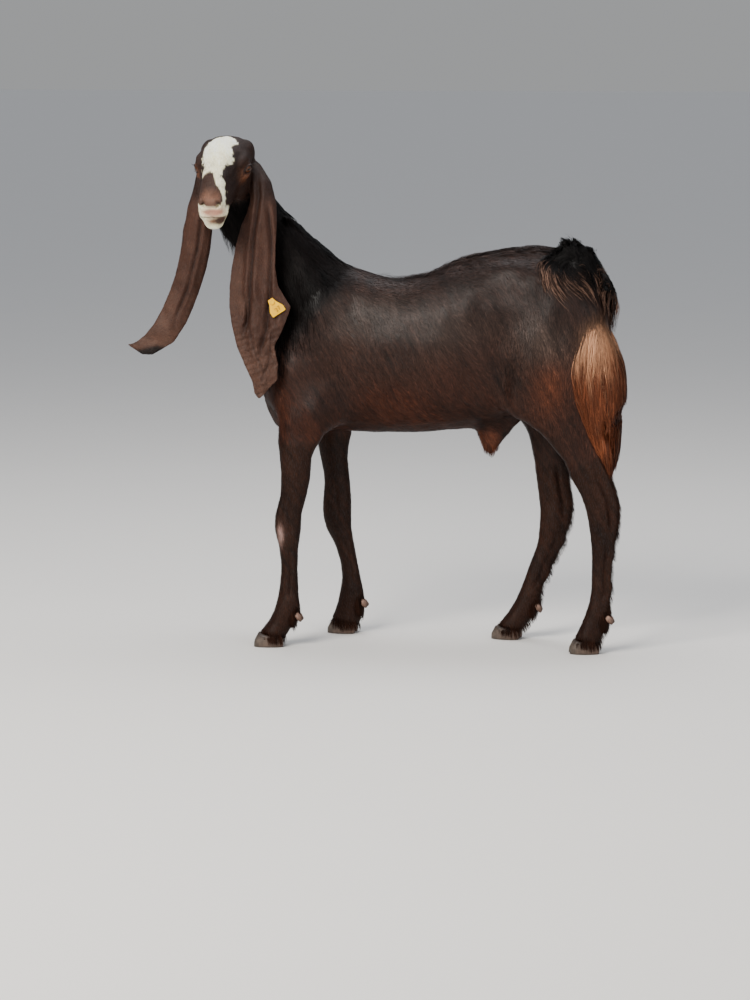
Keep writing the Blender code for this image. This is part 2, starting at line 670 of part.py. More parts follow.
def right_ear():
    """Swings out and curls up at its end; its sections are square to its path."""
    steps = np.linspace(0, 0.985, 12)
    spots = smooth_table(EAR_RIGHT, steps)
    grid = []
    for k, (x, y, z, wide, turn, ripple) in enumerate(spots):
        ahead = spots[min(k + 1, len(spots) - 1)]
        behind = spots[max(k - 1, 0)]
        along = Vector((ahead[0] - behind[0], 0, ahead[2] - behind[2])).normalized()
        across = Vector((-along.z, 0, along.x))
        section = strip_section(turn, ripple, 8)
        deepest = max(section[:, 1])
        row = []
        for a, b in section:
            spot = Vector((x, y, z)) + across * (a - 0.5) * 2 * wide
            row.append(spot + Vector((0, 0.008 - (deepest - b) * 2 * wide * 0.8, 0)))
        grid.append(row)
    return solid_strip("ear_right", grid, EAR_THICK)


# Locks of long hair
class Coat:
    """Reads the surface that locks grow on and must stay clear of."""

    def __init__(self, obj):
        bm = bmesh.new()
        bm.from_mesh(obj.data)
        self.tree = BVHTree.FromBMesh(bm)
        bm.free()

    def nearest(self, point):
        spot, normal, _, _ = self.tree.find_nearest(point)
        return spot, normal

    def lifted(self, point, clear):
        for _ in range(4):
            spot, normal = self.nearest(point)
            rise = (point - spot).dot(normal)
            if rise >= clear:
                break
            point = point + normal * (clear - rise)
        return point


def lock(points, width, thickness, normal):
    """A tapered lock with a low ridge and a flat underside, widest at a third of its length."""
    rings, count = [], len(points)
    for i, point in enumerate(points[:-1]):
        t = i / (count - 1)
        ahead = points[i + 1] - points[max(i - 1, 0)]
        side = ahead.cross(normal).normalized()
        up = side.cross(ahead).normalized()
        wide = width * (0.55 + 1.35 * t) if t < 0.33 else width * (1.0 - 0.62 * (t - 0.33) / 0.67)
        deep = thickness * (1.0 - 0.4 * t)
        rings.append([point + side * wide / 2 - up * deep / 2, point + up * deep / 2,
                      point - side * wide / 2 - up * deep / 2])
    return loft("lock", rings, tip=points[-1])


def grown_lock(coat, root, lie, length, width, thickness, clear, bend=Vector(), steps=3, sunk=0.007):
    """A lock that starts under the surface and keeps to it, a little clear of it."""
    place, normal = coat.nearest(root)
    first = normal
    points = [place - normal * sunk]
    heading = lie.normalized()
    for i in range(1, steps + 1):
        heading = (heading - normal * heading.dot(normal)).normalized()
        place, normal = coat.nearest(place + heading * length / steps)
        points.append(place + normal * clear * (0.5 + 0.5 * i / steps))
        heading = (heading + bend / steps).normalized()
    return lock(points, width, thickness, first)


BREECH = [   # height, front, back and outer side of the fringe behind the left thigh, out to its tips
    (0.702, 0.460, 0.500, 0.070), (0.665, 0.446, 0.517, 0.092), (0.615, 0.440, 0.532, 0.106),
    (0.568, 0.440, 0.538, 0.112), (0.520, 0.448, 0.533, 0.110), (0.475, 0.462, 0.523, 0.104),
    (0.446, 0.480, 0.514, 0.098)]
BREECH_INNER = 0.0225
BREECH_FLESH = 0.494       # back of the thigh under the hair


def breech_rows(side, reach):
    """The fringe's slices at part of its reach; reach 1 goes out to the tips."""
    shift = -0.008 if side > 0 else 0.0
    middle = 0.066
    rows = []
    for z, front, back, wide in BREECH:
        slim = 0.80 + 0.20 * reach
        rows.append((z + (0.702 - z) * 0.06 * (1 - reach), front + shift,
                     BREECH_FLESH + (back - BREECH_FLESH) * reach + shift,
                     side * (middle + (BREECH_INNER - middle) * slim), side * (middle + (wide - middle) * slim)))
    return rows


def breech_form(side, reach):
    rows = breech_rows(side, reach)
    if reach < 1:
        low, front, back, inner, outer = rows[-1]
        rows[-1] = (low + 0.012, front + 0.008, (front + back) / 2 + 0.006, inner + side * 0.014, outer - side * 0.014)
    return slice_form("breech_form", rows, across=14, density=1)


def breech_point(side, height, angle, sunk):
    """A point on the fringe's outer shape; angle 0 is straight back, 90 the outer side."""
    front, back, inner, outer = smooth_table(breech_rows(side, 1.0), [height])[0]
    a = math.radians(angle)
    return Vector(((front + back) / 2 + ((back - front) / 2 - sunk) * math.cos(a),
                   (inner + outer) / 2 + ((outer - inner) / 2 - side * sunk) * math.sin(a), height))


BREECH_LOCKS = [   # height of the roots, their angles round the thigh, length
    (0.694, (48, -8), 0.155), (0.648, (74, 22, -32), 0.155), (0.600, (50, 0), 0.145),
    (0.560, (72, 26, -24), 0.116)]


def breech_locks(side):
    """The long fringe down the back of one thigh, in rows that overlap like slates."""
    draw = random.Random(SEED + side)
    steps = LOCK_STEPS["breech"]
    locks = []
    for height, angles, length in BREECH_LOCKS:
        for angle in angles:
            start = height + draw.uniform(-0.006, 0.006)
            drift = (10 - angle) * 0.35 + draw.uniform(-6, 6)
            points = []
            for k in range(steps + 1):
                t = k / steps
                sunk = 0.017 - 0.017 * math.sin(t * math.pi * 0.60)
                points.append(breech_point(side, start - length * t, angle + drift * t * t, sunk))
            out = points[1] - breech_point(side, points[1].z, angle, 0.030)
            locks.append(lock(points, 0.046 * draw.uniform(0.92, 1.08), 0.012, out.normalized()))
    return locks


def crest_locks(coat, start, end, count, length, spread, width):
    """Longer hair along the top of the goat, parted to either side of its middle line."""
    draw = random.Random(SEED + count)
    along = (end - start).normalized()
    locks = []
    for i in range(count):
        side = -1 if i % 2 else 1
        root = start.lerp(end, (i + 0.5) / count) + Vector((0, side * spread * draw.uniform(0.5, 1.1), 0))
        lie = along + Vector((0, side * draw.uniform(0.15, 0.50), 0.08))
        locks.append(grown_lock(coat, root, lie, length * draw.uniform(0.85, 1.1), width, 0.008,
                                draw.uniform(0.0045, 0.0075), Vector((0, -side * 0.35, -0.15)),
                                steps=LOCK_STEPS["crest"]))
    return locks


FEATHERS = {   # rows of feathering down the back of each hind cannon: height, back of the bone, middle
    "left": [(0.232, 0.517, -0.0900), (0.200, 0.513, -0.0895), (0.168, 0.510, -0.0895)],
    "right": [(0.232, 0.405, 0.0610), (0.198, 0.391, 0.0600), (0.164, 0.374, 0.0590)],
}


def feather_locks(coat, name):
    """Short feathering down the back of one hind cannon."""
    lie = Vector((0.27, 0, -1.0)) if name == "left" else Vector((-0.08, 0, -1.0))
    locks = []
    for i, (height, back, middle) in enumerate(FEATHERS[name]):
        across = 0.003 * (-1) ** i
        root = Vector((back + 0.010, middle + across, height))
        locks.append(grown_lock(coat, root, lie, 0.054, 0.021, 0.009, 0.005, Vector((-0.15, -across * 30, 0)),
                                sunk=0.005))
    return locks


# Tail: a short raised dock under a round tuft that swirls down over the rump
TAIL_ROOT = Vector((0.440, 0.000, 0.806))
TAIL_AXIS = Vector((0.45, -0.10, 0.88)).normalized()
TUFT = Vector((0.424, -0.040, 0.812))


def tail_core():
    path = [TAIL_ROOT - TAIL_AXIS * 0.010, TAIL_ROOT + TAIL_AXIS * 0.012, Vector((0.455, -0.012, 0.838)),
            Vector((0.442, -0.032, 0.842)), TUFT + Vector((0.0, 0, 0.010))]
    radii = (0.0170, 0.0165, 0.0160, 0.0180, 0.0140)
    rings = []
    for i, (point, radius) in enumerate(zip(path, radii)):
        along = (path[min(i + 1, 4)] - path[max(i - 1, 0)]).normalized()
        side = along.cross(Vector((0, 1, 0.01))).normalized()
        up = side.cross(along)
        rings.append([point + (side * math.cos(a) + up * math.sin(a)) * radius
                      for a in (2 * math.pi * j / 10 for j in range(10))])
    dock = loft("dock", rings)
    core = ball("core", TUFT, (0.034, 0.024, 0.032), segments=14)
    return dock, core


def tail_form(reach):
    """Smooth form of the tuft; reach 1 goes out to the tips of its hair."""
    tuft = ball("tuft", TUFT + Vector((0.002, 0.004, -0.004)) * reach,
                (0.034 + 0.038 * reach, 0.024 + 0.012 * reach, 0.030 + 0.026 * reach), segments=14)
    fall = slice_form("fall", [(0.715, 0.450, 0.478 + 0.012 * reach, -0.030, 0.012),
                               (0.760, 0.448, 0.474 + 0.018 * reach, -0.034, 0.018),
                               (0.800, 0.450, 0.468 + 0.016 * reach, -0.030, 0.020),
                               (0.835, 0.448, 0.460 + 0.010 * reach, -0.022, 0.014)], across=12, density=1)
    return tuft, fall


TAIL_GROUPS = [   # count, first and last angle round the tuft, reach, swing in degrees
    (5, (20, 165), (0.054, 0.064), 24), (5, (165, 285), (0.078, 0.090), 52)]
TAIL_FALL = 4


def tail_locks(coat):
    """Locks round the dock: a short crown, a swirl under it and a fall behind."""
    draw = random.Random(SEED + 40)
    steps = LOCK_STEPS["tail"]
    locks = []
    for count, (low, high), (near, far), swing in TAIL_GROUPS:
        for i in range(count):
            start = math.radians(low + (high - low) * (i + 0.5) / count + draw.uniform(-3, 3))
            reach = draw.uniform(near, far)
            turn = math.radians(swing * draw.uniform(0.85, 1.1))
            points = []
            for k in range(steps + 1):
                s = k / steps
                a = start + turn * s * s
                r = 0.026 + (reach - 0.026) * math.sin(s * math.pi / 2)
                point = TUFT + Vector((math.cos(a) * r, -0.014 * (1 - 0.5 * s), math.sin(a) * r))
                points.append(coat.lifted(point, 0.0065) if k else point)
            locks.append(lock(points, 0.038, 0.013, Vector((0, -1, 0))))
    for i in range(TAIL_FALL):
        t = i / (TAIL_FALL - 1)
        start = Vector((0.446 + 0.010 * t, -0.020 + 0.028 * t, 0.840 - 0.010 * t))
        end = Vector((0.488 + 0.010 * t, -0.056 + 0.080 * t, 0.722 + 0.014 * math.sin(5 * t)))
        points = []
        for k in range(steps + 1):
            s = k / steps
            point = start.lerp(end, s) + Vector((0.016, 0, 0.010)) * math.sin(math.pi * s)
            points.append(coat.lifted(point, 0.008) if k > 1 else point)
        locks.append(lock(points, 0.038, 0.012, Vector((1, -0.4 + 0.8 * t, 0.3)).normalized()))
    return locks


# Feet
def coronet_plane(foot, offset):
    centre, heading = FEET[foot]
    tilt = math.tan(CORONET_TILT)
    toe = Vector((math.cos(heading), math.sin(heading), 0))
    normal = (Vector((0, 0, 1)) - toe * tilt).normalized()
    return centre + Vector((0, 0, CORONET)) + normal * offset, normal


def claw(name, foot, side):
    """One half of the cloven hoof, flat under its sole; side is +1 to the left of the toe."""
    centre, heading = FEET[foot]
    turn = Matrix.Rotation(heading, 3, "Z")
    plane, normal = coronet_plane(foot, -GAP / 2)
    rings = []
    for level, size, back in ((0.0, 1.0, 0.0), (0.35, 1.02, 0.001), (1.0, 0.86, 0.0055)):
        ring = []
        for i in range(12):
            a = 2 * math.pi * i / 12
            c, s = math.cos(a), math.sin(a)
            x = 0.003 + SOLE_LENGTH / 2 * math.copysign(abs(c)**0.85, c) * size - back
            y = 0.0148 + 0.0124 * math.copysign(abs(s)**0.8, s) * size - 0.0045 * max(0.0, c)**2
            flat = centre + turn @ Vector((x, side * y, 0))
            top = plane.z - (normal.x * (flat.x - plane.x) + normal.y * (flat.y - plane.y)) / normal.z
            ring.append((flat.x, flat.y, level * top))
        rings.append(ring)
    return dress(loft(name, rings), "horn")


DEWCLAWS = {   # root on the back of the fetlock, before it is drawn to the surface
    "fore_left": (Vector((-0.150, -0.094, 0.066)), Vector((0.55, 0, -0.80))),
    "fore_right": (Vector((-0.036, 0.078, 0.070)), Vector((0.55, 0, -0.80))),
    "hind_left": (Vector((0.508, -0.089, 0.076)), Vector((0.50, 0, -0.85))),
    "hind_right": (Vector((0.343, 0.058, 0.072)), Vector((0.45, 0, -0.85))),
}


def dewclaw(name, leg, foot, side, coat):
    """A small blunt cone on a flat cut behind the fetlock."""
    root, point = DEWCLAWS[foot]
    spot, normal = coat.nearest(root + Vector((0.004, side * 0.0125, 0)))
    spot.y = root.y + side * max(0.0090, abs(spot.y - root.y))
    axis = (normal * 0.75 + point.normalized() * 0.65).normalized()
    across = axis.orthogonal().normalized()
    over = axis.cross(across)
    base = spot - normal * 0.0035
    frame = Matrix((across, over, axis)).transposed().to_4x4()
    frame.translation = base

    seat = prism("seat", disc(0.0082, 8), -GAP / 2, 0.03, frame)
    boolean(leg, seat, "DIFFERENCE")
    remove(seat)
    rings = []
    for height, radius, droop in ((0, 0.0068, 0), (0.009, 0.0064, 0.0012), (0.0165, 0.0034, 0.0040)):
        centre = frame @ Vector((0, 0, height + GAP / 2)) + Vector((0, 0, -droop))
        rings.append([centre + (across * a + over * b) for a, b in disc(radius, 8)])
    return dress(loft(name, rings), "dewclaw")


# Ear bases and the tag
def ear_base(side):
    """Where one ear leaves the head, and its direction there."""
    root = on_head(-0.058, side * 0.0455, -0.018)
    down = Vector((side * (0.62 if side > 0 else 0.45), -0.05, -0.75)).normalized()
    return root, down


def ear_plug(side, inside):
    """Fills the top of an ear's tube, from within the head to a point inside the ear."""
    root, down = ear_base(side)
    path = [root - down * 0.008, root + down * 0.006, root.lerp(inside, 0.55), inside]
    rings = []
    for point, radius in zip(path, (0.0150, 0.0160, 0.0165, 0.0080)):
        along = (path[-1] - path[0]).normalized()
        across = along.orthogonal().normalized()
        over = along.cross(across)
        rings.append([point + (across * math.cos(a) + over * math.sin(a)) * radius
                      for a in (2 * math.pi * j / 8 for j in range(8))])
    return loft("plug", rings)


def square(size):
    return [(-size, -size), (size, -size), (size, size), (-size, size)]


def frame_at(point, axis):
    across = axis.orthogonal().normalized()
    frame = Matrix((across, axis.cross(across), axis)).transposed().to_4x4()
    frame.translation = point
    return frame


def trim_beyond(obj, point, axis, size, depth):
    """Takes a square block off the object beyond a plane, near the point."""
    block = prism("block", square(size), 0, depth, frame_at(point, axis))
    boolean(obj, block, "DIFFERENCE")
    remove(block)
    return keep_largest(obj)


def grown_copy(obj, name, space):
    """A cutter like the object, but larger by the space all over."""
    grown = as_cutter(copy_of(obj, name))
    push = grown.modifiers.new("push", "DISPLACE")
    push.strength = space
    push.mid_level = 0.0
    return evaluated(grown)


def clear_of(obj, grown):
    """Takes the grown copy of a neighbour off the object."""
    boolean(obj, grown, "DIFFERENCE", KEPT)
    remove(grown)
    return keep_largest(obj)


TAG_AT = Vector((-0.200, 0, 0.731))
TAG_TURN = math.radians(34)


def disc(radius, count):
    return [(radius * math.cos(2 * math.pi * i / count), radius * math.sin(2 * math.pi * i / count))
            for i in range(count)]


def tag_pieces(ear):
    """A plain tag: button and panel in front of the ear, a stud behind."""
    coat = Coat(ear)
    front, facing, _, _ = coat.tree.ray_cast(Vector((TAG_AT.x, -0.5, TAG_AT.z)), Vector((0, 1, 0)))
    for x, z in ((0.008, 0.0), (-0.008, 0.0), (0.006, -0.016), (0.012, -0.012), (-0.002, -0.018)):
        _, normal, _, _ = coat.tree.ray_cast(Vector((TAG_AT.x + x, -0.5, TAG_AT.z + z)), Vector((0, 1, 0)))
        facing = facing + (normal or Vector((0, -1, 0)))
    facing.normalize()
    sink = 0.0007
    seat = front - facing * sink
    back, _, _, _ = coat.tree.ray_cast(front - facing * 0.02, facing)
    behind = back + facing * sink
    right = (Vector((1, 0, 0)) - facing * facing.x).normalized()
    up = facing.cross(right)
    frame = Matrix((right, up, facing)).transposed().to_4x4()
    frame.translation = seat + facing * GAP
    rear = frame.copy()
    rear.translation = behind - facing * GAP

    def turned(points):
        c, s = math.cos(TAG_TURN), math.sin(TAG_TURN)
        return [(x * c - y * s, x * s + y * c) for x, y in points]

    outline = turned([(-0.0055, 0.0065), (0.0055, 0.0065), (0.0080, -0.003), (0.0160, -0.018), (0.0155, -0.029),
                      (-0.0155, -0.029), (-0.0160, -0.018), (-0.0080, -0.003)])
    stand = 0.0030
    for x, y in outline + turned([(0, -0.010), (0, -0.020), (0.008, -0.015), (-0.008, -0.015)]):
        above = frame @ Vector((x, y, 0.04))
        hit, _, _, _ = coat.tree.ray_cast(above, -facing)
        if hit:
            stand = max(stand, (hit - frame.translation).dot(facing) + 0.0015)
    trim_beyond(ear, seat, facing, 0.0050, 0.02)
    trim_beyond(ear, behind, -facing, 0.0050, 0.02)
    thick = 0.0016
    boss = prism("boss", disc(0.0042, 12), 0, stand + thick / 2, frame)
    plate = prism("ear_tag_panel", outline, stand, stand + thick, frame)
    boolean(plate, boss, "UNION")
    remove(boss)
    low = stand + thick + GAP
    button = prism("ear_tag_button", disc(0.0058, 16), low, low + 0.0025, frame)
    stud = prism("ear_tag_back", disc(0.0050, 16), -0.0024, 0, rear)
    for piece in (plate, button, stud):
        tools.objects.unlink(piece)
        goat.objects.link(piece)
        piece.hide_render = False
        piece.display_type = "TEXTURED"
        dress(piece, "tag")


# Cuts that part the whole into its nodes
NECK_CUT = (Vector((-0.158, 0, 0.724)), Vector((-0.643, 0, 0.766)))
HEAD_CUT = (Vector((-0.290, -0.030, 0.955)), Vector((-0.25, -0.55, 0.80)).normalized())
SHANK_CUT = {"left": (Vector((0.450, 0, 0.402)), Vector((-0.64, 0, 0.77))),
             "right": (Vector((0.376, 0, 0.388)), Vector((-0.36, 0, 0.93)))}
THIGH_OUTLINE = [(0.250, 0.655), (0.258, 0.560), (0.272, 0.512), (0.296, 0.484), (0.290, 0.30), (0.200, 0.10),
                 (0.200, -0.05), (0.650, -0.05), (0.650, 0.715), (0.500, 0.726), (0.410, 0.738), (0.310, 0.722)]
THIGH_INNER = 0.020
SIDE_FRAME = Matrix(((1, 0, 0, 0), (0, 0, 1, 0), (0, 1, 0, 0), (0, 0, 0, 1)))


def thigh_prism(side, grow):
    """The block that parts one thigh from the trunk, grown or shrunk by half the gap."""
    shift = -0.014 if side > 0 else 0.0
    middle = Vector((0.42, 0.45))
    outline = []
    for x, z in THIGH_OUTLINE:
        out = (Vector((x, z)) - middle).normalized() * grow * 1.6
        outline.append((x + shift + out.x, z + out.y))
    inner = THIGH_INNER - grow
    low, high = sorted((side * inner, side * 0.30))
    return prism("thigh_block", outline, low, high, SIDE_FRAME)


LEG_LEVELS = {"fore": (0.222, 0.098), "hind": (0.252, 0.100)}


def leg_nodes(fine, which, side_name, top_plane):
    """Cuts one leg below its top plane into its lengths and adds the foot."""
    side = -1 if side_name == "left" else 1
    foot = f"{which}_{side_name}"
    leg = copy_of(fine, f"{foot}_leg")
    half(leg, Vector((0, side * 0.001, 0)), Vector((0, side, 0)))
    half(leg, Vector((0.10, 0, 0)), Vector((-1 if which == "fore" else 1, 0, 0)))
    point, normal = top_plane
    half(leg, point + normal * 0.012, -normal)
    keep_largest(leg)
    thin_out(leg, LEG_TRIANGLES)
    half(leg, point - normal * GAP / 2, -normal)
    half(leg, *coronet_plane(foot, GAP / 2))
    knee, fetlock = LEG_LEVELS[which]
    names = ("forearm", "fore_cannon", "fore_pastern") if which == "fore" else (
        "shank", "hind_cannon", "hind_pastern")
    up = Vector((0, 0, 1))
    upper, cannon, pastern = (copy_of(leg, f"{name}_{side_name}") for name in names)
    half(upper, up * (knee + GAP / 2), up)
    half(cannon, up * (knee - GAP / 2), -up)
    half(cannon, up * (fetlock + GAP / 2), up)
    half(pastern, up * (fetlock - GAP / 2), -up)
    remove(leg)
    for piece in (upper, cannon, pastern):
        tidy_mesh(piece)
        keep_largest(piece)
    if which == "hind":
        add_to(cannon, feather_locks(Coat(cannon), side_name))
    for piece in (upper, cannon, pastern):
        dress(piece, "leg")
    coat = Coat(pastern)
    for label, lateral in (("inner", -side), ("outer", side)):
        heading_sign = -1 if math.cos(FEET[foot][1]) < 0 else 1
        claw(f"claw_{foot}_{label}", foot, lateral * heading_sign)
        dewclaw(f"dewclaw_{foot}_{label}", pastern, foot, lateral, coat)
    dress(keep_largest(pastern), "leg")
    return upper, cannon, pastern


def belly_pieces(torso):
    """Sheath and scrotum, each under a flat cut in the belly."""
    down = Vector((0, 0, -1))
    for name, point, rows, colour in (
            ("sheath", Vector((0.252, 0, 0.4575)),
             [(0.405, 0.238, 0.250, 0.005, -0.005), (0.412, 0.232, 0.257, 0.010, -0.010),
              (0.430, 0.224, 0.270, 0.015, -0.015), (0.4572, 0.212, 0.294, 0.022, -0.022)], "sheath"),
            ("scrotum", Vector((0.405, 0, 0.5050)),
             [(0.446, 0.395, 0.417, 0.006, -0.006), (0.452, 0.384, 0.428, 0.013, -0.013),
              (0.470, 0.376, 0.436, 0.0185, -0.0185), (0.490, 0.380, 0.433, 0.017, -0.017),
              (0.5047, 0.384, 0.430, 0.015, -0.015)], "coat")):
        half_depth = 0.045 if name == "sheath" else 0.030
        trim_beyond(torso, point, down, half_depth, 0.06)
        dress(slice_form(name, rows, across=12, density=1), colour)


def build():
    trunk = [torso_form(), neck_form()]
    for side in (-1, 1):
        trunk += shoulder_forms(side)
    trunk += [slice_form("leg", rows) for rows in (FORE_LEFT, FORE_RIGHT, HIND_LEFT, HIND_RIGHT)]
    trunk += hip_forms()
    fine = fuse_forms("fine", trunk + head_forms(), FINE, 7, 90)
    face = fuse_forms("head", [neck_form()] + head_forms(), FINE_HEAD, 12)

    body = copy_of(fine, "torso")
    half(body, Vector((0, 0, 0.34)), Vector((0, 0, 1)))
    half(body, HEAD_CUT[0] + HEAD_CUT[1] * 0.02, -HEAD_CUT[1])
    keep_largest(body)
    thin_out(body, TRUNK_TRIANGLES)
    half(body, HEAD_CUT[0] - HEAD_CUT[1] * GAP / 2, -HEAD_CUT[1])
    neck = copy_of(body, "neck")
    half(neck, NECK_CUT[0] + NECK_CUT[1] * GAP / 2, NECK_CUT[1])
    half(body, NECK_CUT[0] - NECK_CUT[1] * GAP / 2, -NECK_CUT[1])

    rump = grown_copy(body, "rump", GAP * 3)
    half(rump, Vector((0.33, 0, 0)), Vector((1, 0, 0)))
    half(rump, Vector((0, 0, 0.62)), Vector((0, 0, 1)))
    trim_beyond(rump, TAIL_ROOT + TAIL_AXIS * GAP, TAIL_AXIS, 0.029, 0.05)

    coat = Coat(fine)
    thighs = {}
    for side, name in ((-1, "left"), (1, "right")):
        thigh = copy_of(body, f"thigh_{name}")
        block = thigh_prism(side, -GAP / 2)
        boolean(thigh, block, "INTERSECT")
        remove(block)
        block = thigh_prism(side, GAP / 2)
        boolean(body, block, "DIFFERENCE")
        remove(block)
        point, normal = SHANK_CUT[name]
        half(keep_largest(thigh), point + normal * GAP / 2, normal)
        thighs[name] = keep_largest(thigh)
    half(body, Vector((0, 0, LEG_CUT)), Vector((0, 0, 1)))
    torso = keep_largest(body)
    belly_pieces(torso)

    for name in ("left", "right"):
        leg_nodes(fine, "fore", name, (Vector((0, 0, LEG_CUT)), Vector((0, 0, 1))))
        leg_nodes(fine, "hind", name, SHANK_CUT[name])

    half(face, HEAD_CUT[0] - HEAD_CUT[1] * 0.012, HEAD_CUT[1])
    keep_largest(face)
    thin_out(face, HEAD_TRIANGLES)
    head = half(face, HEAD_CUT[0] + HEAD_CUT[1] * GAP / 2, HEAD_CUT[1])
    add_to(head, [lid_ring(-1), lid_ring(1)])
    carve_face(head)
    for side, name, strip in ((1, "left", left_ear()), (-1, "right", right_ear())):
        root, down = ear_base(side)
        inside = Vector((-0.2280, -0.0640, 0.958)) if name == "left" else Vector((-0.3600, -0.0380, 0.950))
        add_to(strip, [ear_plug(side, inside)])
        half(strip, root + down * GAP / 2, down)
        trim_beyond(head, root - down * GAP / 2, down, 0.024, 0.05)
        clear_of(keep_largest(strip), grown_copy(head, "grown_head", GAP * 1.5))
        dress(strip, "ear")
        if name == "left":
            tag_pieces(strip)
            dress(keep_largest(strip), "ear")
    for side, name in ((1, "left"), (-1, "right")):
        dress(eyeball(side, EYE_RADIUS, f"eye_{name}"), "eye")

    dress(head, "face")
    add_to(neck, crest_locks(coat, Vector((-0.212, 0, 0.942)), Vector((-0.100, 0, 0.834)), 8, 0.070, 0.010, 0.030))
    dress(neck, "neck_coat")
    add_to(torso, crest_locks(coat, Vector((0.115, 0, 0.800)), Vector((0.345, 0, 0.860)), 13, 0.078, 0.020,
                              0.038))

    trim_beyond(torso, TAIL_ROOT, TAIL_AXIS, 0.030, 0.05)
    for side, name in ((-1, "left"), (1, "right")):
        add_to(thighs[name], [breech_form(side, 0.5)])
        add_to(thighs[name], breech_locks(side))
        dress(thighs[name], "coat")
    tail, core = tail_core()
    tail.name = "tail"
    add_to(tail, [core, *tail_form(0.5)])
    add_to(tail, tail_locks(coat))
    clear_of(tail, rump)
    dress(tail, "tail")
    dress(torso, "coat")
    remove(fine)


def stand_on_centre():
    """Moves every node alike, so that the middle of the whole is over the origin."""
    corners = np.array([v.co[:] for obj in goat.objects for v in obj.data.vertices])
    low, high = corners.min(0), corners.max(0)
    shift = Matrix.Translation((-(low[0] + high[0]) / 2, -(low[1] + high[1]) / 2, 0))
    for obj in goat.objects:
        obj.data.transform(shift)
        obj.data.update()


build()
stand_on_centre()
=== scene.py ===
# Looks of a still, life-size model of a young long-eared billy goat:
# one skin, a coat of fine tufts and long locks over it, eyes, hooves and ear tag.

import json
import math

import bmesh
import bpy
import numpy as np
from mathutils import Matrix, Vector
from mathutils.bvhtree import BVHTree
from mathutils.kdtree import KDTree

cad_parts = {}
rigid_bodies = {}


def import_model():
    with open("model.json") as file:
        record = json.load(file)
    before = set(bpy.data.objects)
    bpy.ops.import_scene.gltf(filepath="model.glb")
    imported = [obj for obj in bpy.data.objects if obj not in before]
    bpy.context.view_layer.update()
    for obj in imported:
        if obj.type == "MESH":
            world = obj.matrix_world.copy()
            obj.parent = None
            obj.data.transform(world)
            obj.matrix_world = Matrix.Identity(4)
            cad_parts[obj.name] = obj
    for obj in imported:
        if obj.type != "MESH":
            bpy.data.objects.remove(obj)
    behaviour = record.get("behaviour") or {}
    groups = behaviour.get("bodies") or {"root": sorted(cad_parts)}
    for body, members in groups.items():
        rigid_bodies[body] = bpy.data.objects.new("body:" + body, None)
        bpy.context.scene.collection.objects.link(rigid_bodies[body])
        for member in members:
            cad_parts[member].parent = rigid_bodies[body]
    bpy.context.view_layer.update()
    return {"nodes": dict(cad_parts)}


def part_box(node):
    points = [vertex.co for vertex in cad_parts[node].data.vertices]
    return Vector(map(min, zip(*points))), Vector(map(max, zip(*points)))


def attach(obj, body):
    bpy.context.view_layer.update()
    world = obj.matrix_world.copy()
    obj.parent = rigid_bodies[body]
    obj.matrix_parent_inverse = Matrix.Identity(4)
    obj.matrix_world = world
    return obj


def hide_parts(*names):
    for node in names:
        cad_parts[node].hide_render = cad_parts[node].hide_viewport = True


for leftover in list(bpy.data.objects):
    bpy.data.objects.remove(leftover, do_unlink=True)

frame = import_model()
nodes = frame["nodes"]
chance = np.random.default_rng(20)


# Places are given as the CAD has them before it is centred: withers near x = -0.06, y = 0.
headPose = {
    "yaw": -90.5,
    "pitch": 25.0,
    "eyeMid": (-0.305, -0.100, 1.006),
    "eyeOffset": (0.001, 0.0, 0.004),   # forward, left and up from there to the middle of the eyeballs
    "eyeRadius": 0.0140,
    "lidOpening": (0.0128, 0.0074),     # half its length and half its height
    "eyeSpread": 0.0450,                # from the middle of the head to the middle of an eyeball
    "eyeTurn": 33.0,                    # how far the eyes look ahead of straight out, in degrees
}


def unit(v):
    v = np.asarray(v, float)
    return v / np.maximum(np.linalg.norm(v, axis=-1, keepdims=True), 1e-12)


def headAxes():
    yaw, pitch = math.radians(headPose["yaw"]), math.radians(headPose["pitch"])
    forward = np.array([math.cos(yaw) * math.cos(pitch), math.sin(yaw) * math.cos(pitch), -math.sin(pitch)])
    left = np.array([-math.sin(yaw), math.cos(yaw), 0.0])
    return np.array([forward, left, np.cross(forward, left)])


def middleOf(node):
    low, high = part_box(node)
    return np.array((low + high) / 2)


headTurn = headAxes()
eyeMid = np.array(headPose["eyeMid"])
eyeballs = {"left": middleOf("eye_left"), "right": middleOf("eye_right")}
shift = (eyeballs["left"] + eyeballs["right"]) / 2 - eyeMid - np.array(headPose["eyeOffset"]) @ headTurn


def onHead(places):
    return np.asarray(places, float) @ headTurn + eyeMid + shift


def headPlaces(points):
    return (points - shift - eyeMid) @ headTurn.T


def eyeFrame(side):
    # middle of one eyeball on the head, and the ways along its lids, out of it and up
    turn = math.radians(headPose["eyeTurn"])
    middle = np.array(headPose["eyeOffset"]) + (0, side * headPose["eyeSpread"], 0)
    axes = np.array([(math.cos(turn), -side * math.sin(turn), 0),
                     (math.sin(turn), side * math.cos(turn), 0),
                     (0, 0, 1)])
    return middle, axes


def ramp(x, low, high):
    t = np.clip((x - low) / (high - low), 0, 1)
    return t * t * (3 - 2 * t)


def near(points, centre, radii):
    # 1 at the centre, fading to 0 at about twice the radii
    d = (points - np.asarray(centre)) / np.asarray(radii)
    return np.exp(-(d * d).sum(-1))


def waves(points, size, seed, count=7):
    # a smooth unevenness between about -1 and 1, of features of the named size
    draw = np.random.default_rng(seed)
    total = np.zeros(len(points))
    for _ in range(count):
        pull = unit(draw.normal(size=3)) * draw.uniform(0.6, 1.5) * 2 * math.pi / size
        total += np.sin(points @ pull + draw.uniform(0, 6.28))
    return total / math.sqrt(count) * 0.9


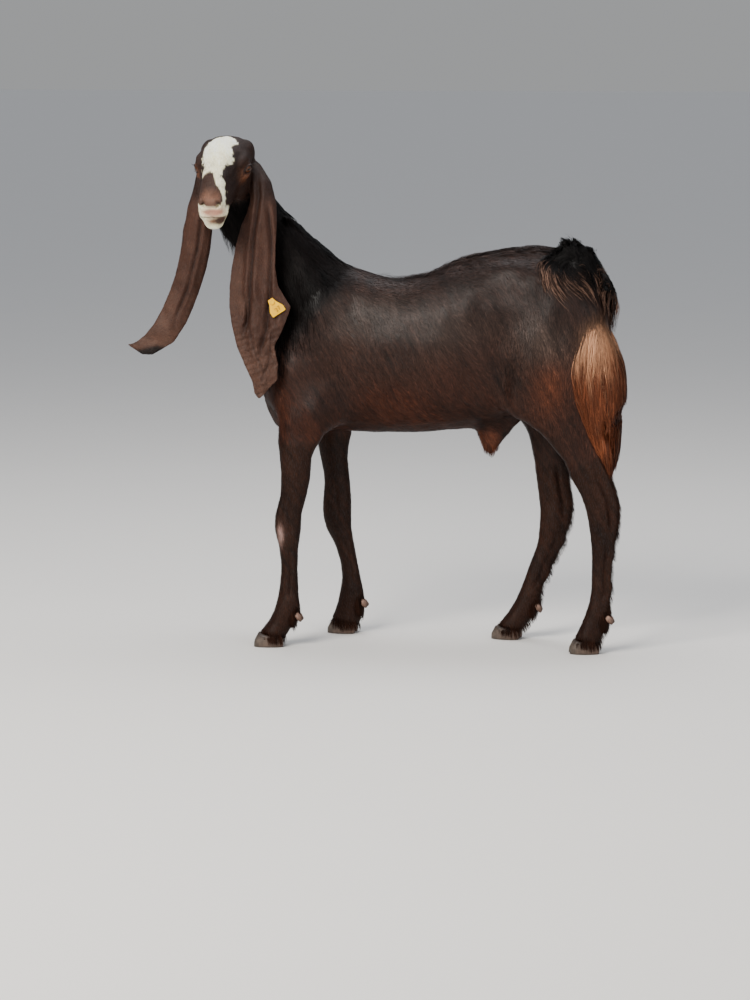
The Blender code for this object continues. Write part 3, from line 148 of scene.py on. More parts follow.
# Mesh arrays
def readVectors(items, what, width=3, kind=np.float32):
    values = np.empty(len(items) * width, kind)
    items.foreach_get(what, values)
    return values.reshape(-1, width) if width > 1 else values


def placesOf(mesh):
    return readVectors(mesh.vertices, "co").astype(float)


def normalsOf(mesh):
    return readVectors(mesh.vertex_normals, "vector").astype(float)


def edgesOf(mesh):
    return readVectors(mesh.edges, "vertices", 2, np.int32)


def trianglesOf(mesh):
    return readVectors(mesh.loops, "vertex_index", 1, np.int32).reshape(-1, 3)


def movePoints(mesh, points):
    mesh.vertices.foreach_set("co", points.astype(np.float32).ravel())
    mesh.update()


def treeOf(points, triangles):
    return BVHTree.FromPolygons(points.tolist(), triangles.tolist())


def newObject(name, mesh):
    piece = bpy.data.objects.new(name, mesh)
    bpy.context.scene.collection.objects.link(piece)
    return piece


def meshOfTriangles(name, points, triangles):
    mesh = bpy.data.meshes.new(name)
    mesh.vertices.add(len(points))
    mesh.vertices.foreach_set("co", np.asarray(points, np.float32).ravel())
    mesh.loops.add(len(triangles) * 3)
    mesh.loops.foreach_set("vertex_index", np.asarray(triangles, np.int32).ravel())
    mesh.polygons.add(len(triangles))
    mesh.polygons.foreach_set("loop_start", np.arange(0, len(triangles) * 3, 3, dtype=np.int32))
    mesh.update(calc_edges=True)
    mesh.polygons.foreach_set("use_smooth", np.ones(len(triangles), bool))
    return mesh


def laid(under, over, share):
    # one colour over another, by its share
    return under * (1 - share) + np.array(over) * share


def paint(mesh, colours):
    layer = mesh.color_attributes.new("markings", "FLOAT_COLOR", "POINT")
    full = np.ones((len(colours), 4), np.float32)
    full[:, :3] = colours
    layer.data.foreach_set("color", full.ravel())


def paintValue(mesh, name, values):
    layer = mesh.attributes.new(name, "FLOAT", "POINT")
    layer.data.foreach_set("value", np.asarray(values, np.float32))


def applied(piece):
    graph = bpy.context.evaluated_depsgraph_get()
    mesh = bpy.data.meshes.new_from_object(piece.evaluated_get(graph))
    piece.modifiers.clear()
    piece.data = mesh
    return piece


def neighbourCount(edges, points):
    return np.maximum(np.bincount(edges.ravel(), minlength=len(points)), 1)


def neighbourMeans(values, edges, count):
    a, b = edges[:, 0], edges[:, 1]
    sums = [np.bincount(a, values[b, k], len(values)) + np.bincount(b, values[a, k], len(values))
            for k in range(values.shape[1])]
    return np.stack(sums, 1) / count[:, None]


# The skin
print("skin")
skinPlan = {
    "headVoxel": 0.0015,
    "bodyVoxel": 0.0032,
    "headTriangles": 180000,
    "bodyTriangles": 150000,
    "neckCut": ((-0.235, 0.0, 0.845), (-0.52, 0.0, 0.85)),   # where the head's fine skin meets the body's
    "neckOverlap": 0.012,
    "blendRounds": 10,      # how softly one region passes into the next
    "fringeRounds": 90, "fringeDepth": 0.003,     # the back of the thigh is smoother and deeper there
    "mouthRounds": 26, "mouthHeight": -0.0373,    # so is the groove between the lips
}
regionOf = {"torso": "torso", "neck": "neck", "head": "head", "ear_left": "earLeft", "ear_right": "earRight",
            "tail": "tail", "thigh": "thigh", "shank": "leg", "forearm": "leg", "fore_cannon": "leg",
            "hind_cannon": "leg", "fore_pastern": "foot", "hind_pastern": "foot", "sheath": "sheath",
            "scrotum": "scrotum"}
regionPlan = {   # rounds of smoothing, and how deep the skin lies in its coat
    "torso": (60, 0.0030), "neck": (40, 0.0042), "head": (14, 0.0009), "earLeft": (16, 0.0004),
    "earRight": (14, 0.0004), "tail": (50, 0.0080), "thigh": (50, 0.0030), "leg": (12, 0.0014),
    "foot": (8, 0.0010), "sheath": (14, 0.0020), "scrotum": (12, 0.0012),
}
regions = list(regionPlan)


def regionOfNode(name):
    for start, region in regionOf.items():
        if name == start or name.startswith(start + "_"):
            return region
    return None


fleshNodes = [n for n in nodes if regionOfNode(n)]
headNodes = ["head", "ear_left", "ear_right"]


def fleshMap():
    # every CAD triangle of flesh, and the region it belongs to
    points, triangles, owner = [], [], []
    start = 0
    for name in fleshNodes:
        mesh = nodes[name].data
        points.append(placesOf(mesh))
        triangles.append(trianglesOf(mesh) + start)
        owner += [regions.index(regionOfNode(name))] * len(triangles[-1])
        start += len(points[-1])
    return treeOf(np.concatenate(points), np.concatenate(triangles)), np.array(owner)


fleshTree, fleshOwner = fleshMap()


def remeshed(name, sources, voxel):
    bm = bmesh.new()
    for mesh in sources:
        bm.from_mesh(mesh)
    mesh = bpy.data.meshes.new(name)
    bm.to_mesh(mesh)
    bm.free()
    piece = newObject(name, mesh)
    grid = piece.modifiers.new("grid", "REMESH")
    grid.mode = "VOXEL"
    grid.voxel_size = voxel
    return applied(piece)


def neckPart(keepHead):
    # the neck on one side of the cut, a little past it, closed
    point, normal = (Vector(v) for v in skinPlan["neckCut"])
    normal.normalize()
    side = 1 if keepHead else -1
    bm = bmesh.new()
    bm.from_mesh(nodes["neck"].data)
    bmesh.ops.remove_doubles(bm, verts=bm.verts[:], dist=1e-6)
    centre = point + Vector(shift) - normal * side * skinPlan["neckOverlap"]
    bmesh.ops.bisect_plane(bm, geom=bm.verts[:] + bm.edges[:] + bm.faces[:], plane_co=centre,
                           plane_no=normal * side, clear_inner=True)
    bmesh.ops.edgeloop_fill(bm, edges=[e for e in bm.edges if e.is_boundary])
    bmesh.ops.triangulate(bm, faces=bm.faces[:])
    mesh = bpy.data.meshes.new("neckPart")
    bm.to_mesh(mesh)
    bm.free()
    return mesh


def regionWeights(piece, rounds):
    # how far each place belongs to each region, blended with its neighbours
    points, edges = placesOf(piece.data), edgesOf(piece.data)
    weights = np.zeros((len(points), len(regions)))
    owner = [fleshOwner[fleshTree.find_nearest(Vector(p))[2]] for p in points]
    weights[np.arange(len(points)), owner] = 1
    count = neighbourCount(edges, points)
    for _ in range(rounds):
        weights = neighbourMeans(weights, edges, count)
    return weights


def softened(piece):
    # smooths each region by its own number of rounds and draws it in by the depth of its coat
    mesh = piece.data
    points, edges = placesOf(mesh), edgesOf(mesh)
    count = neighbourCount(edges, points)
    weights = regionWeights(piece, skinPlan["blendRounds"])
    rounds = weights @ np.array([regionPlan[r][0] for r in regions])
    q = points - shift
    thigh, leg = weights[:, regions.index("thigh")], weights[:, regions.index("leg")]
    upperLeg = thigh + leg * ramp(q[:, 2], 0.385, 0.420)
    fringe = ramp(q[:, 0], 0.440, 0.475) * ramp(-q[:, 2], -0.73, -0.69) * upperLeg
    rounds += skinPlan["fringeRounds"] * fringe
    h = headPlaces(points)
    lips = np.exp(-((h[:, 2] - skinPlan["mouthHeight"]) / 0.004)**2) * (h[:, 0] > 0.08)
    rounds += skinPlan["mouthRounds"] * ramp(h[:, 0], 0.08, 0.11) * lips
    for i in range(int(rounds.max()) + 1):
        strength = np.clip(rounds - i, 0, 1)[:, None] * 0.5
        points += (neighbourMeans(points, edges, count) - points) * strength
    movePoints(mesh, points)
    depth = weights @ np.array([regionPlan[r][1] for r in regions]) + skinPlan["fringeDepth"] * fringe
    movePoints(mesh, points - normalsOf(mesh) * depth[:, None])


def thinned(piece, triangles):
    fewer = piece.modifiers.new("fewer", "DECIMATE")
    fewer.ratio = min(1.0, triangles / (len(piece.data.polygons) * 2))
    fewer.use_collapse_triangulate = True
    return applied(piece)


bodyNodes = [n for n in fleshNodes if n not in headNodes + ["neck"]]
headHalf = remeshed("skin", [nodes[n].data for n in headNodes] + [neckPart(True)], skinPlan["headVoxel"])
bodyHalf = remeshed("skinBody", [nodes[n].data for n in bodyNodes] + [neckPart(False)], skinPlan["bodyVoxel"])
print("skin remeshed", len(headHalf.data.vertices), len(bodyHalf.data.vertices))
softened(headHalf)
softened(bodyHalf)
thinned(headHalf, skinPlan["headTriangles"])
thinned(bodyHalf, skinPlan["bodyTriangles"])
print("skin softened")


def joined(name, pieces):
    points, triangles, start = [], [], 0
    for piece in pieces:
        points.append(placesOf(piece.data))
        triangles.append(trianglesOf(piece.data) + start)
        start += len(points[-1])
        bpy.data.objects.remove(piece, do_unlink=True)
    return newObject(name, meshOfTriangles(name, np.concatenate(points), np.concatenate(triangles)))


# Relief: the folds and hollows that the solids leave out
earFolds = [   # heights up each fold of the left ear and its x there, its half width and depth
    ((0.666, 0.706, 0.792, 0.859, 0.948, 0.990),
     (-0.259, -0.249, -0.243, -0.240, -0.231, -0.236), 0.0050, 0.0052),
    ((0.620, 0.678, 0.760, 0.860, 0.930), (-0.226, -0.210, -0.205, -0.203, -0.212), 0.0045, 0.0044),
    ((0.575, 0.630, 0.690, 0.735), (-0.212, -0.236, -0.250, -0.256), 0.0038, 0.0026),
    ((0.560, 0.612, 0.668), (-0.223, -0.204, -0.199), 0.0032, 0.0022),
]
rightFold = ((0.690, 0.750, 0.832, 0.920), (-0.420, -0.395, -0.372, -0.358), 0.0042, 0.0034)
bodyHollows = [   # place on the left side, radii, depth inward; each is repeated on the right
    ((0.250, -0.12, 0.665), (0.042, 0.10, 0.038), 0.0070),      # hollow of the flank
    ((0.318, -0.10, 0.768), (0.026, 0.10, 0.020), -0.0050),     # point of the hip
    ((-0.030, -0.12, 0.660), (0.016, 0.10, 0.085), 0.0040),     # behind the shoulder
    ((-0.105, -0.12, 0.690), (0.034, 0.10, 0.075), -0.0035),    # shoulder blade
    ((-0.170, -0.10, 0.600), (0.030, 0.10, 0.035), -0.0050),    # point of the shoulder
    ((-0.112, -0.11, 0.500), (0.022, 0.10, 0.022), -0.0040),    # elbow
    ((0.400, -0.12, 0.590), (0.012, 0.10, 0.090), 0.0030),      # groove at the back of the thigh
    ((0.310, -0.12, 0.520), (0.014, 0.10, 0.050), -0.0045),     # stifle
    ((0.335, -0.12, 0.600), (0.030, 0.10, 0.060), -0.0030),     # muscle of the thigh
    ((0.280, -0.12, 0.560), (0.016, 0.10, 0.060), 0.0035),      # in front of the stifle
]
faceRelief = [   # forward, left, up on the head; radii; depth inward
    ((0.040, 0.046, -0.012), (0.030, 0.020, 0.0040), -0.0012),       # bag under the eye
    ((0.042, 0.046, -0.020), (0.032, 0.020, 0.0040), 0.0014),        # and the crease below it
    ((0.026, 0.052, -0.004), (0.012, 0.020, 0.0022), 0.0016),        # front corner of the eye
    ((0.060, 0.035, 0.016), (0.030, 0.016, 0.006), 0.0012),          # beside the bridge of the nose
    ((0.1545, 0.0155, 0.0015), (0.0060, 0.0040, 0.0034), 0.0040),    # nostril
    ((0.151, 0.0215, 0.004), (0.008, 0.004, 0.007), -0.0014),        # wing of the nostril
    ((0.140, 0.022, -0.018), (0.010, 0.014, 0.006), -0.0010),        # upper lip
    ((-0.010, 0.040, -0.045), (0.012, 0.02, 0.030), -0.0016),        # angle of the jaw
]
# Along a leg, 0 is the fetlock and 1 the knee or hock. Across it, -1 is its front and 1 its back.
legGrooves = [   # leg, from and to along it, place across it at both, half width, depth
    ("fore", 0.08, 0.86, 0.28, 0.24, 0.15, 0.0021),
    ("fore", 1.18, 1.80, 0.30, -0.10, 0.20, 0.0022),
    ("fore", 1.30, 1.85, -0.45, -0.55, 0.16, 0.0012),
    ("hind", 0.08, 0.84, 0.24, 0.28, 0.15, 0.0021),
    ("hind", 1.12, 1.80, 0.46, 0.34, 0.15, 0.0036),
    ("hind", 1.25, 1.80, -0.35, -0.25, 0.16, 0.0014),
]
legKnobs = [   # leg, place along and across, reach along and across, depth inward
    ("fore", 1.00, -0.12, 0.090, 0.40, -0.0018), ("fore", 0.86, 0.60, 0.050, 0.30, 0.0014),
    ("fore", 1.13, -0.55, 0.050, 0.30, 0.0012), ("fore", 0.00, 0.25, 0.060, 0.45, -0.0012),
    ("hind", 1.00, -0.05, 0.085, 0.40, -0.0018), ("hind", 1.02, 0.78, 0.060, 0.25, -0.0018),
    ("hind", 0.85, 0.62, 0.050, 0.30, 0.0014), ("hind", 0.00, 0.25, 0.060, 0.45, -0.0012),
]


legPlan = {"slice": 0.008, "strength": 1.5}    # the height of the slices that a leg's width is read from


def legForm(q, normals, leg):
    # hollows between bone and tendon on both faces of each leg, and the knobs of its joints
    thick = legPlan["slice"]
    inward = np.zeros(len(q))
    for end in ("fore", "hind"):
        low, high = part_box(end + "_cannon_left")
        for side in (-1, 1):
            mine = (leg > 0.2) & ((q[:, 0] < 0.05) == (end == "fore")) & (q[:, 1] * side > 0)
            x, z = q[mine, 0], q[mine, 2]
            level = np.round(z / thick).astype(int)
            levels = np.unique(level)
            front = np.array([x[level == k].min() for k in levels])
            back = np.array([x[level == k].max() for k in levels])
            halfWidth = np.maximum(np.interp(z, levels * thick, (back - front) / 2), 0.008)
            across = (x - np.interp(z, levels * thick, (front + back) / 2)) / halfWidth
            along = (z - low[2]) / (high[2] - low[2])
            flank = ramp(np.abs(normals[mine, 1]), 0.30, 0.70)
            depth = np.zeros(len(x))
            for which, start, stop, first, last, width, deep in legGrooves:
                if which == end:
                    place = np.interp(along, (start, stop), (first, last))
                    ends = ramp(along, start - 0.06, start + 0.08) * ramp(-along, -stop - 0.08, -stop + 0.06)
                    depth += deep * np.exp(-((across - place) / width)**2) * ends * flank
            for which, place, middle, tall, wide, deep in legKnobs:
                if which == end:
                    depth += deep * np.exp(-((along - place) / tall)**2 - ((across - middle) / wide)**2)
            inward[mine] += depth * np.clip(leg[mine] * 1.5, 0, 1) * legPlan["strength"]
    return inward


def alongFold(x, z, fold):
    heights, places, width, _ = fold
    t = (x - np.interp(z, heights, places)) / width
    low, high = heights[0], -heights[-1]
    return t, ramp(z, low - 0.015, low + 0.020) * ramp(-z, high - 0.015, high + 0.020)


def creases(q):
    # how deep in a fold of the ears each place lies, 0 to 1
    x, z = q[:, 0], q[:, 2]
    total = np.zeros(len(q))
    for fold in earFolds + [rightFold]:
        t, ends = alongFold(x, z, fold)
        total = np.maximum(total, np.exp(-(t / 0.7)**2) * ends * fold[3] / earFolds[0][3])
    return total


def mouthLine(h):
    # height over the line between the lips, which droops to the sides at the front
    f, s, u = h.T
    return u + 0.0315 + 0.05 * np.abs(s) * (f > 0.14)


def relief(points, normals, weights):
    q = points - shift
    x, y, z = q.T
    part = dict(zip(regions, weights.T))
    body = part["torso"] + part["thigh"]
    inward = np.zeros(len(q))
    for place, radii, depth in bodyHollows:
        for side in (1, -1):
            mirrored = np.array(place) * (1, side, 1)
            inward += body * depth * near(q, mirrored, radii) * ramp(-side * y, 0.02, 0.06)
    inward += body * 0.0009 * waves(q, 0.060, 41) + part["neck"] * 0.0010 * waves(q, 0.050, 42)
    if part["leg"].any():
        inward += legForm(q, normals, part["leg"])
    h = headPlaces(points)
    f, s, u = h.T
    for place, radii, depth in faceRelief:
        for side in (1, -1):
            inward += part["head"] * depth * near(h, np.array(place) * (1, side, 1), radii)
    front = part["head"] * ramp(f, 0.100, 0.125)
    mouth = mouthLine(h) + 0.10 * (0.150 - f) * (f < 0.150)
    inward += front * (0.0022 * np.exp(-(mouth / 0.0011)**2) - 0.0009 * np.exp(-((mouth - 0.0045) / 0.003)**2)
                       - 0.0007 * np.exp(-((mouth + 0.0040) / 0.003)**2))
    inward += front * 0.0016 * np.exp(-(s / 0.0010)**2) * ramp(u, -0.031, -0.026) * ramp(-u, 0.002, 0.008)
    wrinkle = near(h, (0.118, 0, 0.030), (0.022, 0.030, 0.016)) * 0.5
    wrinkle = wrinkle + near(h, (0.130, 0, -0.004), (0.016, 0.05, 0.016))
    inward += part["head"] * 0.0003 * wrinkle * np.sin(f * 2 * math.pi / 0.0052 + 40 * np.abs(s) + 14 * u)
    inward += part["head"] * 0.00035 * waves(q, 0.020, 43)
    moved = points - normals * inward[:, None]
    ears = part["earLeft"] + part["earRight"]
    deep = np.zeros(len(q))
    for k, fold in enumerate(earFolds + [rightFold]):
        t, ends = alongFold(x, z, fold)
        mine = part["earLeft"] if k < len(earFolds) else part["earRight"]
        banks = 0.45 * np.exp(-(t - 2.0)**2), 0.45 * np.exp(-(t + 2.0)**2)
        deep += mine * fold[3] * ends * (np.exp(-t * t) - banks[0] - banks[1])
    crumple = part["earLeft"] * ramp(-z, -0.740, -0.640)
    deep += crumple * 0.0017 * waves(q * (1, 0.3, 2.2), 0.030, 44)
    deep += ears * 0.0009 * waves(q * (2.2, 0.3, 0.6), 0.040, 45)
    moved[:, 1] += deep
    # the tip of the right ear is scooped and its lower edge rolls under
    point = part["earRight"] * ramp(-x, 0.488, 0.527)
    moved[:, 2] += point * (0.631 - z) * 0.88
    tip = part["earRight"] * ramp(-x, 0.425, 0.47)
    moved[:, 1] += 0.0040 * tip * np.exp(-((z - 0.640 - 0.4 * ramp(-x, 0.47, 0.53) * 0.03) / 0.012)**2)
    return moved


def lidReach(h, side):
    # how far out from the middle of an eye's opening each place lies: 1 on the rim of the lids
    long, tall = headPose["lidOpening"]
    middle, axes = eyeFrame(side)
    local = (h - middle) @ axes.T
    return np.sqrt((local[:, 0] / long)**2 + (local[:, 2] / tall)**2)


def lidShape(turns):
    # the height of the lids' edge over their corners, from -1 to 1, round the opening
    return np.sign(np.sin(turns)) * np.abs(np.sin(turns))**1.25


def shellOut(ball, f, u, flat):
    # how far out a shell over the eyeball lies, by place along the lids and up
    return np.sqrt(np.maximum(ball**2 - (f / flat)**2 - u**2, (0.28 * ball)**2))


lidPlan = {
    "around": 72,
    # share of the opening's size, shell's radius over the eyeball's, share that follows the skin
    "rings": [
        (0.84, -0.0006, 0), (0.92, 0.0001, 0), (0.97, 0.0008, 0), (1.00, 0.0015, 0), (1.05, 0.0020, 0),
        (1.12, 0.0021, 0), (1.20, 0.0017, 0.05), (1.29, 0.0009, 0.2), (1.38, 0.0006, 0.4),
        (1.47, 0.0012, 0.62), (1.58, 0.0014, 0.8), (1.72, 0.0010, 0.93), (1.90, 0.0006, 1.0),
        (2.10, 0.0, 1.0), (2.30, 0.0, 1.0),
    ],
    "skinLift": 0.0004, "rootSink": 0.0010, "corner": 0.0016, "flatter": 1.16,
}


def eyelids(side, tree):
    # both lids of one eye, as rings from inside the opening out to the skin of the face
    plan = lidPlan
    long, tall = headPose["lidOpening"]
    middle, axes = eyeFrame(side)
    turns = np.arange(plan["around"]) * 2 * math.pi / plan["around"]
    rows = []
    for k, (share, over, follow) in enumerate(plan["rings"]):
        f = long * share * np.cos(turns) * (1 - 0.10 * (share - 1))
        u = tall * share * lidShape(turns) * np.where(np.sin(turns) > 0, 1 + 0.20 * (share - 1), 1.0)
        u = u - plan["corner"] * np.cos(turns) * ramp(np.cos(turns), 0.5, 1.0)
        ball = headPose["eyeRadius"] + over * np.where(np.sin(turns) > -0.2, 1.25, 0.9)
        shell = shellOut(ball, f, u, 1.0 if share < 0.95 else plan["flatter"])
        skinOut = np.empty(len(turns))
        for i in range(len(turns)):
            start = onHead(middle + np.array((f[i], 0.08, u[i])) @ axes)
            hit = tree.ray_cast(Vector(start), Vector(-axes[1] @ headTurn), 0.10)
            skinOut[i] = 0.08 - (hit[3] or 0.08)
        last = max(k - len(plan["rings"]) + 3, 0)      # the last two rings dip under the skin
        out = shell * (1 - follow) + (skinOut + (plan["skinLift"] - plan["rootSink"] * last)) * follow
        rows.append(onHead(middle + np.stack([f, out, u], 1) @ axes))
    points = np.concatenate(rows)
    n = plan["around"]
    triangles = []
    for k in range(len(rows) - 1):
        for i in range(n):
            a, b = k * n + i, k * n + (i + 1) % n
            quad = (a, b, b + n, a + n) if side > 0 else (b, a, a + n, b + n)
            triangles += [(quad[0], quad[2], quad[1]), (quad[0], quad[3], quad[2])]
    return newObject("lids", meshOfTriangles("lids", points, triangles))


def sunkAtEyes(piece):
    # clears the skin from the front of the eyeballs, under the lids
    points = placesOf(piece.data)
    h = headPlaces(points)
    for side in (-1, 1):
        mine = (side * h[:, 1] > 0.030) & (np.abs(h[:, 0]) < 0.05) & (np.abs(h[:, 2]) < 0.05)
        amount = 0.0120 * (1 - ramp(lidReach(h, side), 1.30, 1.85)) * mine
        points -= (eyeFrame(side)[1][1] @ headTurn) * amount[:, None]
    movePoints(piece.data, points)


fineBlend = 5     # rounds of blending between the regions, once the skin is in shape
for half in (headHalf, bodyHalf):
    movePoints(half.data, relief(placesOf(half.data), normalsOf(half.data), regionWeights(half, fineBlend)))
headTree = treeOf(placesOf(headHalf.data), trianglesOf(headHalf.data))
lids = [eyelids(side, headTree) for side in (-1, 1)]
sunkAtEyes(headHalf)
skin = joined("skin", [headHalf, bodyHalf] + lids)
skinPoints, skinTriangles, skinNormals = placesOf(skin.data), trianglesOf(skin.data), normalsOf(skin.data)
skinTree = treeOf(skinPoints, skinTriangles)
skinRegions = regionWeights(skin, fineBlend)
print("skin regions")


# Markings: one function of place, shared by the skin and every tuft
colours = {
    "black": (0.0028, 0.0024, 0.0024),
    "body": (0.0240, 0.0100, 0.0066),
    "back": (0.0196, 0.0100, 0.0075),
    "flank": (0.0320, 0.0076, 0.0024),
    "thighRed": (0.0720, 0.0200, 0.0080),
    "sheen": (0.0680, 0.0496, 0.0400),
    "leg": (0.0205, 0.0074, 0.0038),
    "neck": (0.0025, 0.0016, 0.0015),
    "face": (0.0192, 0.0078, 0.0048),
    "browSheen": (0.0240, 0.0152, 0.0128),
    "eyePatch": (0.1900, 0.0720, 0.0350),
    "darkRimAndNostrilShade": (0.0224, 0.0088, 0.0064),
    "white": (0.9700, 0.9100, 0.6300),
    "nose": (0.1650, 0.0750, 0.0450),
    "darkNoseAndShadow": (0.0416, 0.0224, 0.0168),
    "lip": (0.4784, 0.2484, 0.1748),
    # mouth: painted shade for the line between the lips
    "mouth": (0.0560, 0.0250, 0.0190),
    "chinTan": (0.2880, 0.1600, 0.0960),
    "chinDark": (0.0720, 0.0360, 0.0240),
    "ear": (0.0580, 0.0245, 0.0155),
    "earPale": (0.0920, 0.0450, 0.0300),
    "earFoldShade": (0.0160, 0.0072, 0.0056),
    "sheath": (0.0800, 0.0232, 0.0104),
    "scrotum": (0.0160, 0.0096, 0.0080),
    "kneePatch": (0.2720, 0.1680, 0.1440),
    "fringeTan": (0.6200, 0.3200, 0.1750),
    "fringeRust": (0.0950, 0.0270, 0.0110),
    "fringeDark": (0.0440, 0.0132, 0.0060),
}
kneeBald = (-0.1865, -0.1000, 0.2420)    # a bald place on the near knee
blazeLeft = {   # the white of the face: its edge on the head's left, by how far forward
    "forward": (-0.055, -0.022, 0.013, 0.024, 0.051, 0.073, 0.084, 0.100, 0.111, 0.160),
    "edge": (0.012, 0.028, 0.023, 0.030, 0.025, 0.018, 0.013, 0.017, 0.026, 0.033),
}
blazeRight = {
    "forward": (-0.055, -0.020, 0.002, 0.033, 0.061, 0.089, 0.160),
    "edge": (-0.010, -0.030, -0.035, -0.033, -0.027, -0.024, -0.030),
}
noseEdge = {    # the left edge of the dark nose
    "forward": (0.094, 0.100, 0.109, 0.123, 0.130, 0.140, 0.160),
    "edge": (-0.006, 0.000, 0.004, 0.008, 0.019, 0.023, 0.022),
}
bodyMarks = [   # colour, place on the left side, radii, strength, how blotched; on both sides of the body
    ("thighRed", (0.378, 0.115, 0.568), (0.038, 0.07, 0.062), 0.75, 0),
    # the two sheen marks are painted highlights, the coat's sheen on the thigh and over the shoulder
    ("sheen", (0.360, 0.115, 0.668), (0.055, 0.07, 0.045), 0.60, 0.30),
    ("sheen", (0.060, 0.110, 0.700), (0.140, 0.07, 0.050), 0.28, 0.25),
]
thighMarks = [   # the same, only on the thighs, under the fringe
    ("fringeTan", (0.494, 0.100, 0.655), (0.034, 0.04, 0.042)),
    ("fringeRust", (0.492, 0.100, 0.560), (0.040, 0.06, 0.075)),
]
eyeMarks = [    # colour, place on the head, radii, strength
    ("eyePatch", (0.022, 0.056, -0.004), (0.022, 0.030, 0.017), 0.8),
    ("eyePatch", (0.014, -0.056, 0.002), (0.018, 0.030, 0.014), 0.8),
]
muzzleMarks = [
    # the first is a painted shadow under the nose; the same colour also darkens part of the nose itself
    ("darkNoseAndShadow", (0.158, 0.005, -0.0075), (0.012, 0.015, 0.0020), 0.8),
    ("lip", (0.156, 0.005, -0.0195), (0.018, 0.023, 0.0085), 1.6),
    ("chinTan", (0.156, 0.003, -0.0400), (0.020, 0.015, 0.0080), 1.1),
    ("chinDark", (0.149, 0.018, -0.0415), (0.018, 0.0125, 0.0105), 1.7),
]
unevenness = {"fine": 0.10, "blotches": 0.14, "streaks": 0.34, "least": 0.3, "most": 2}


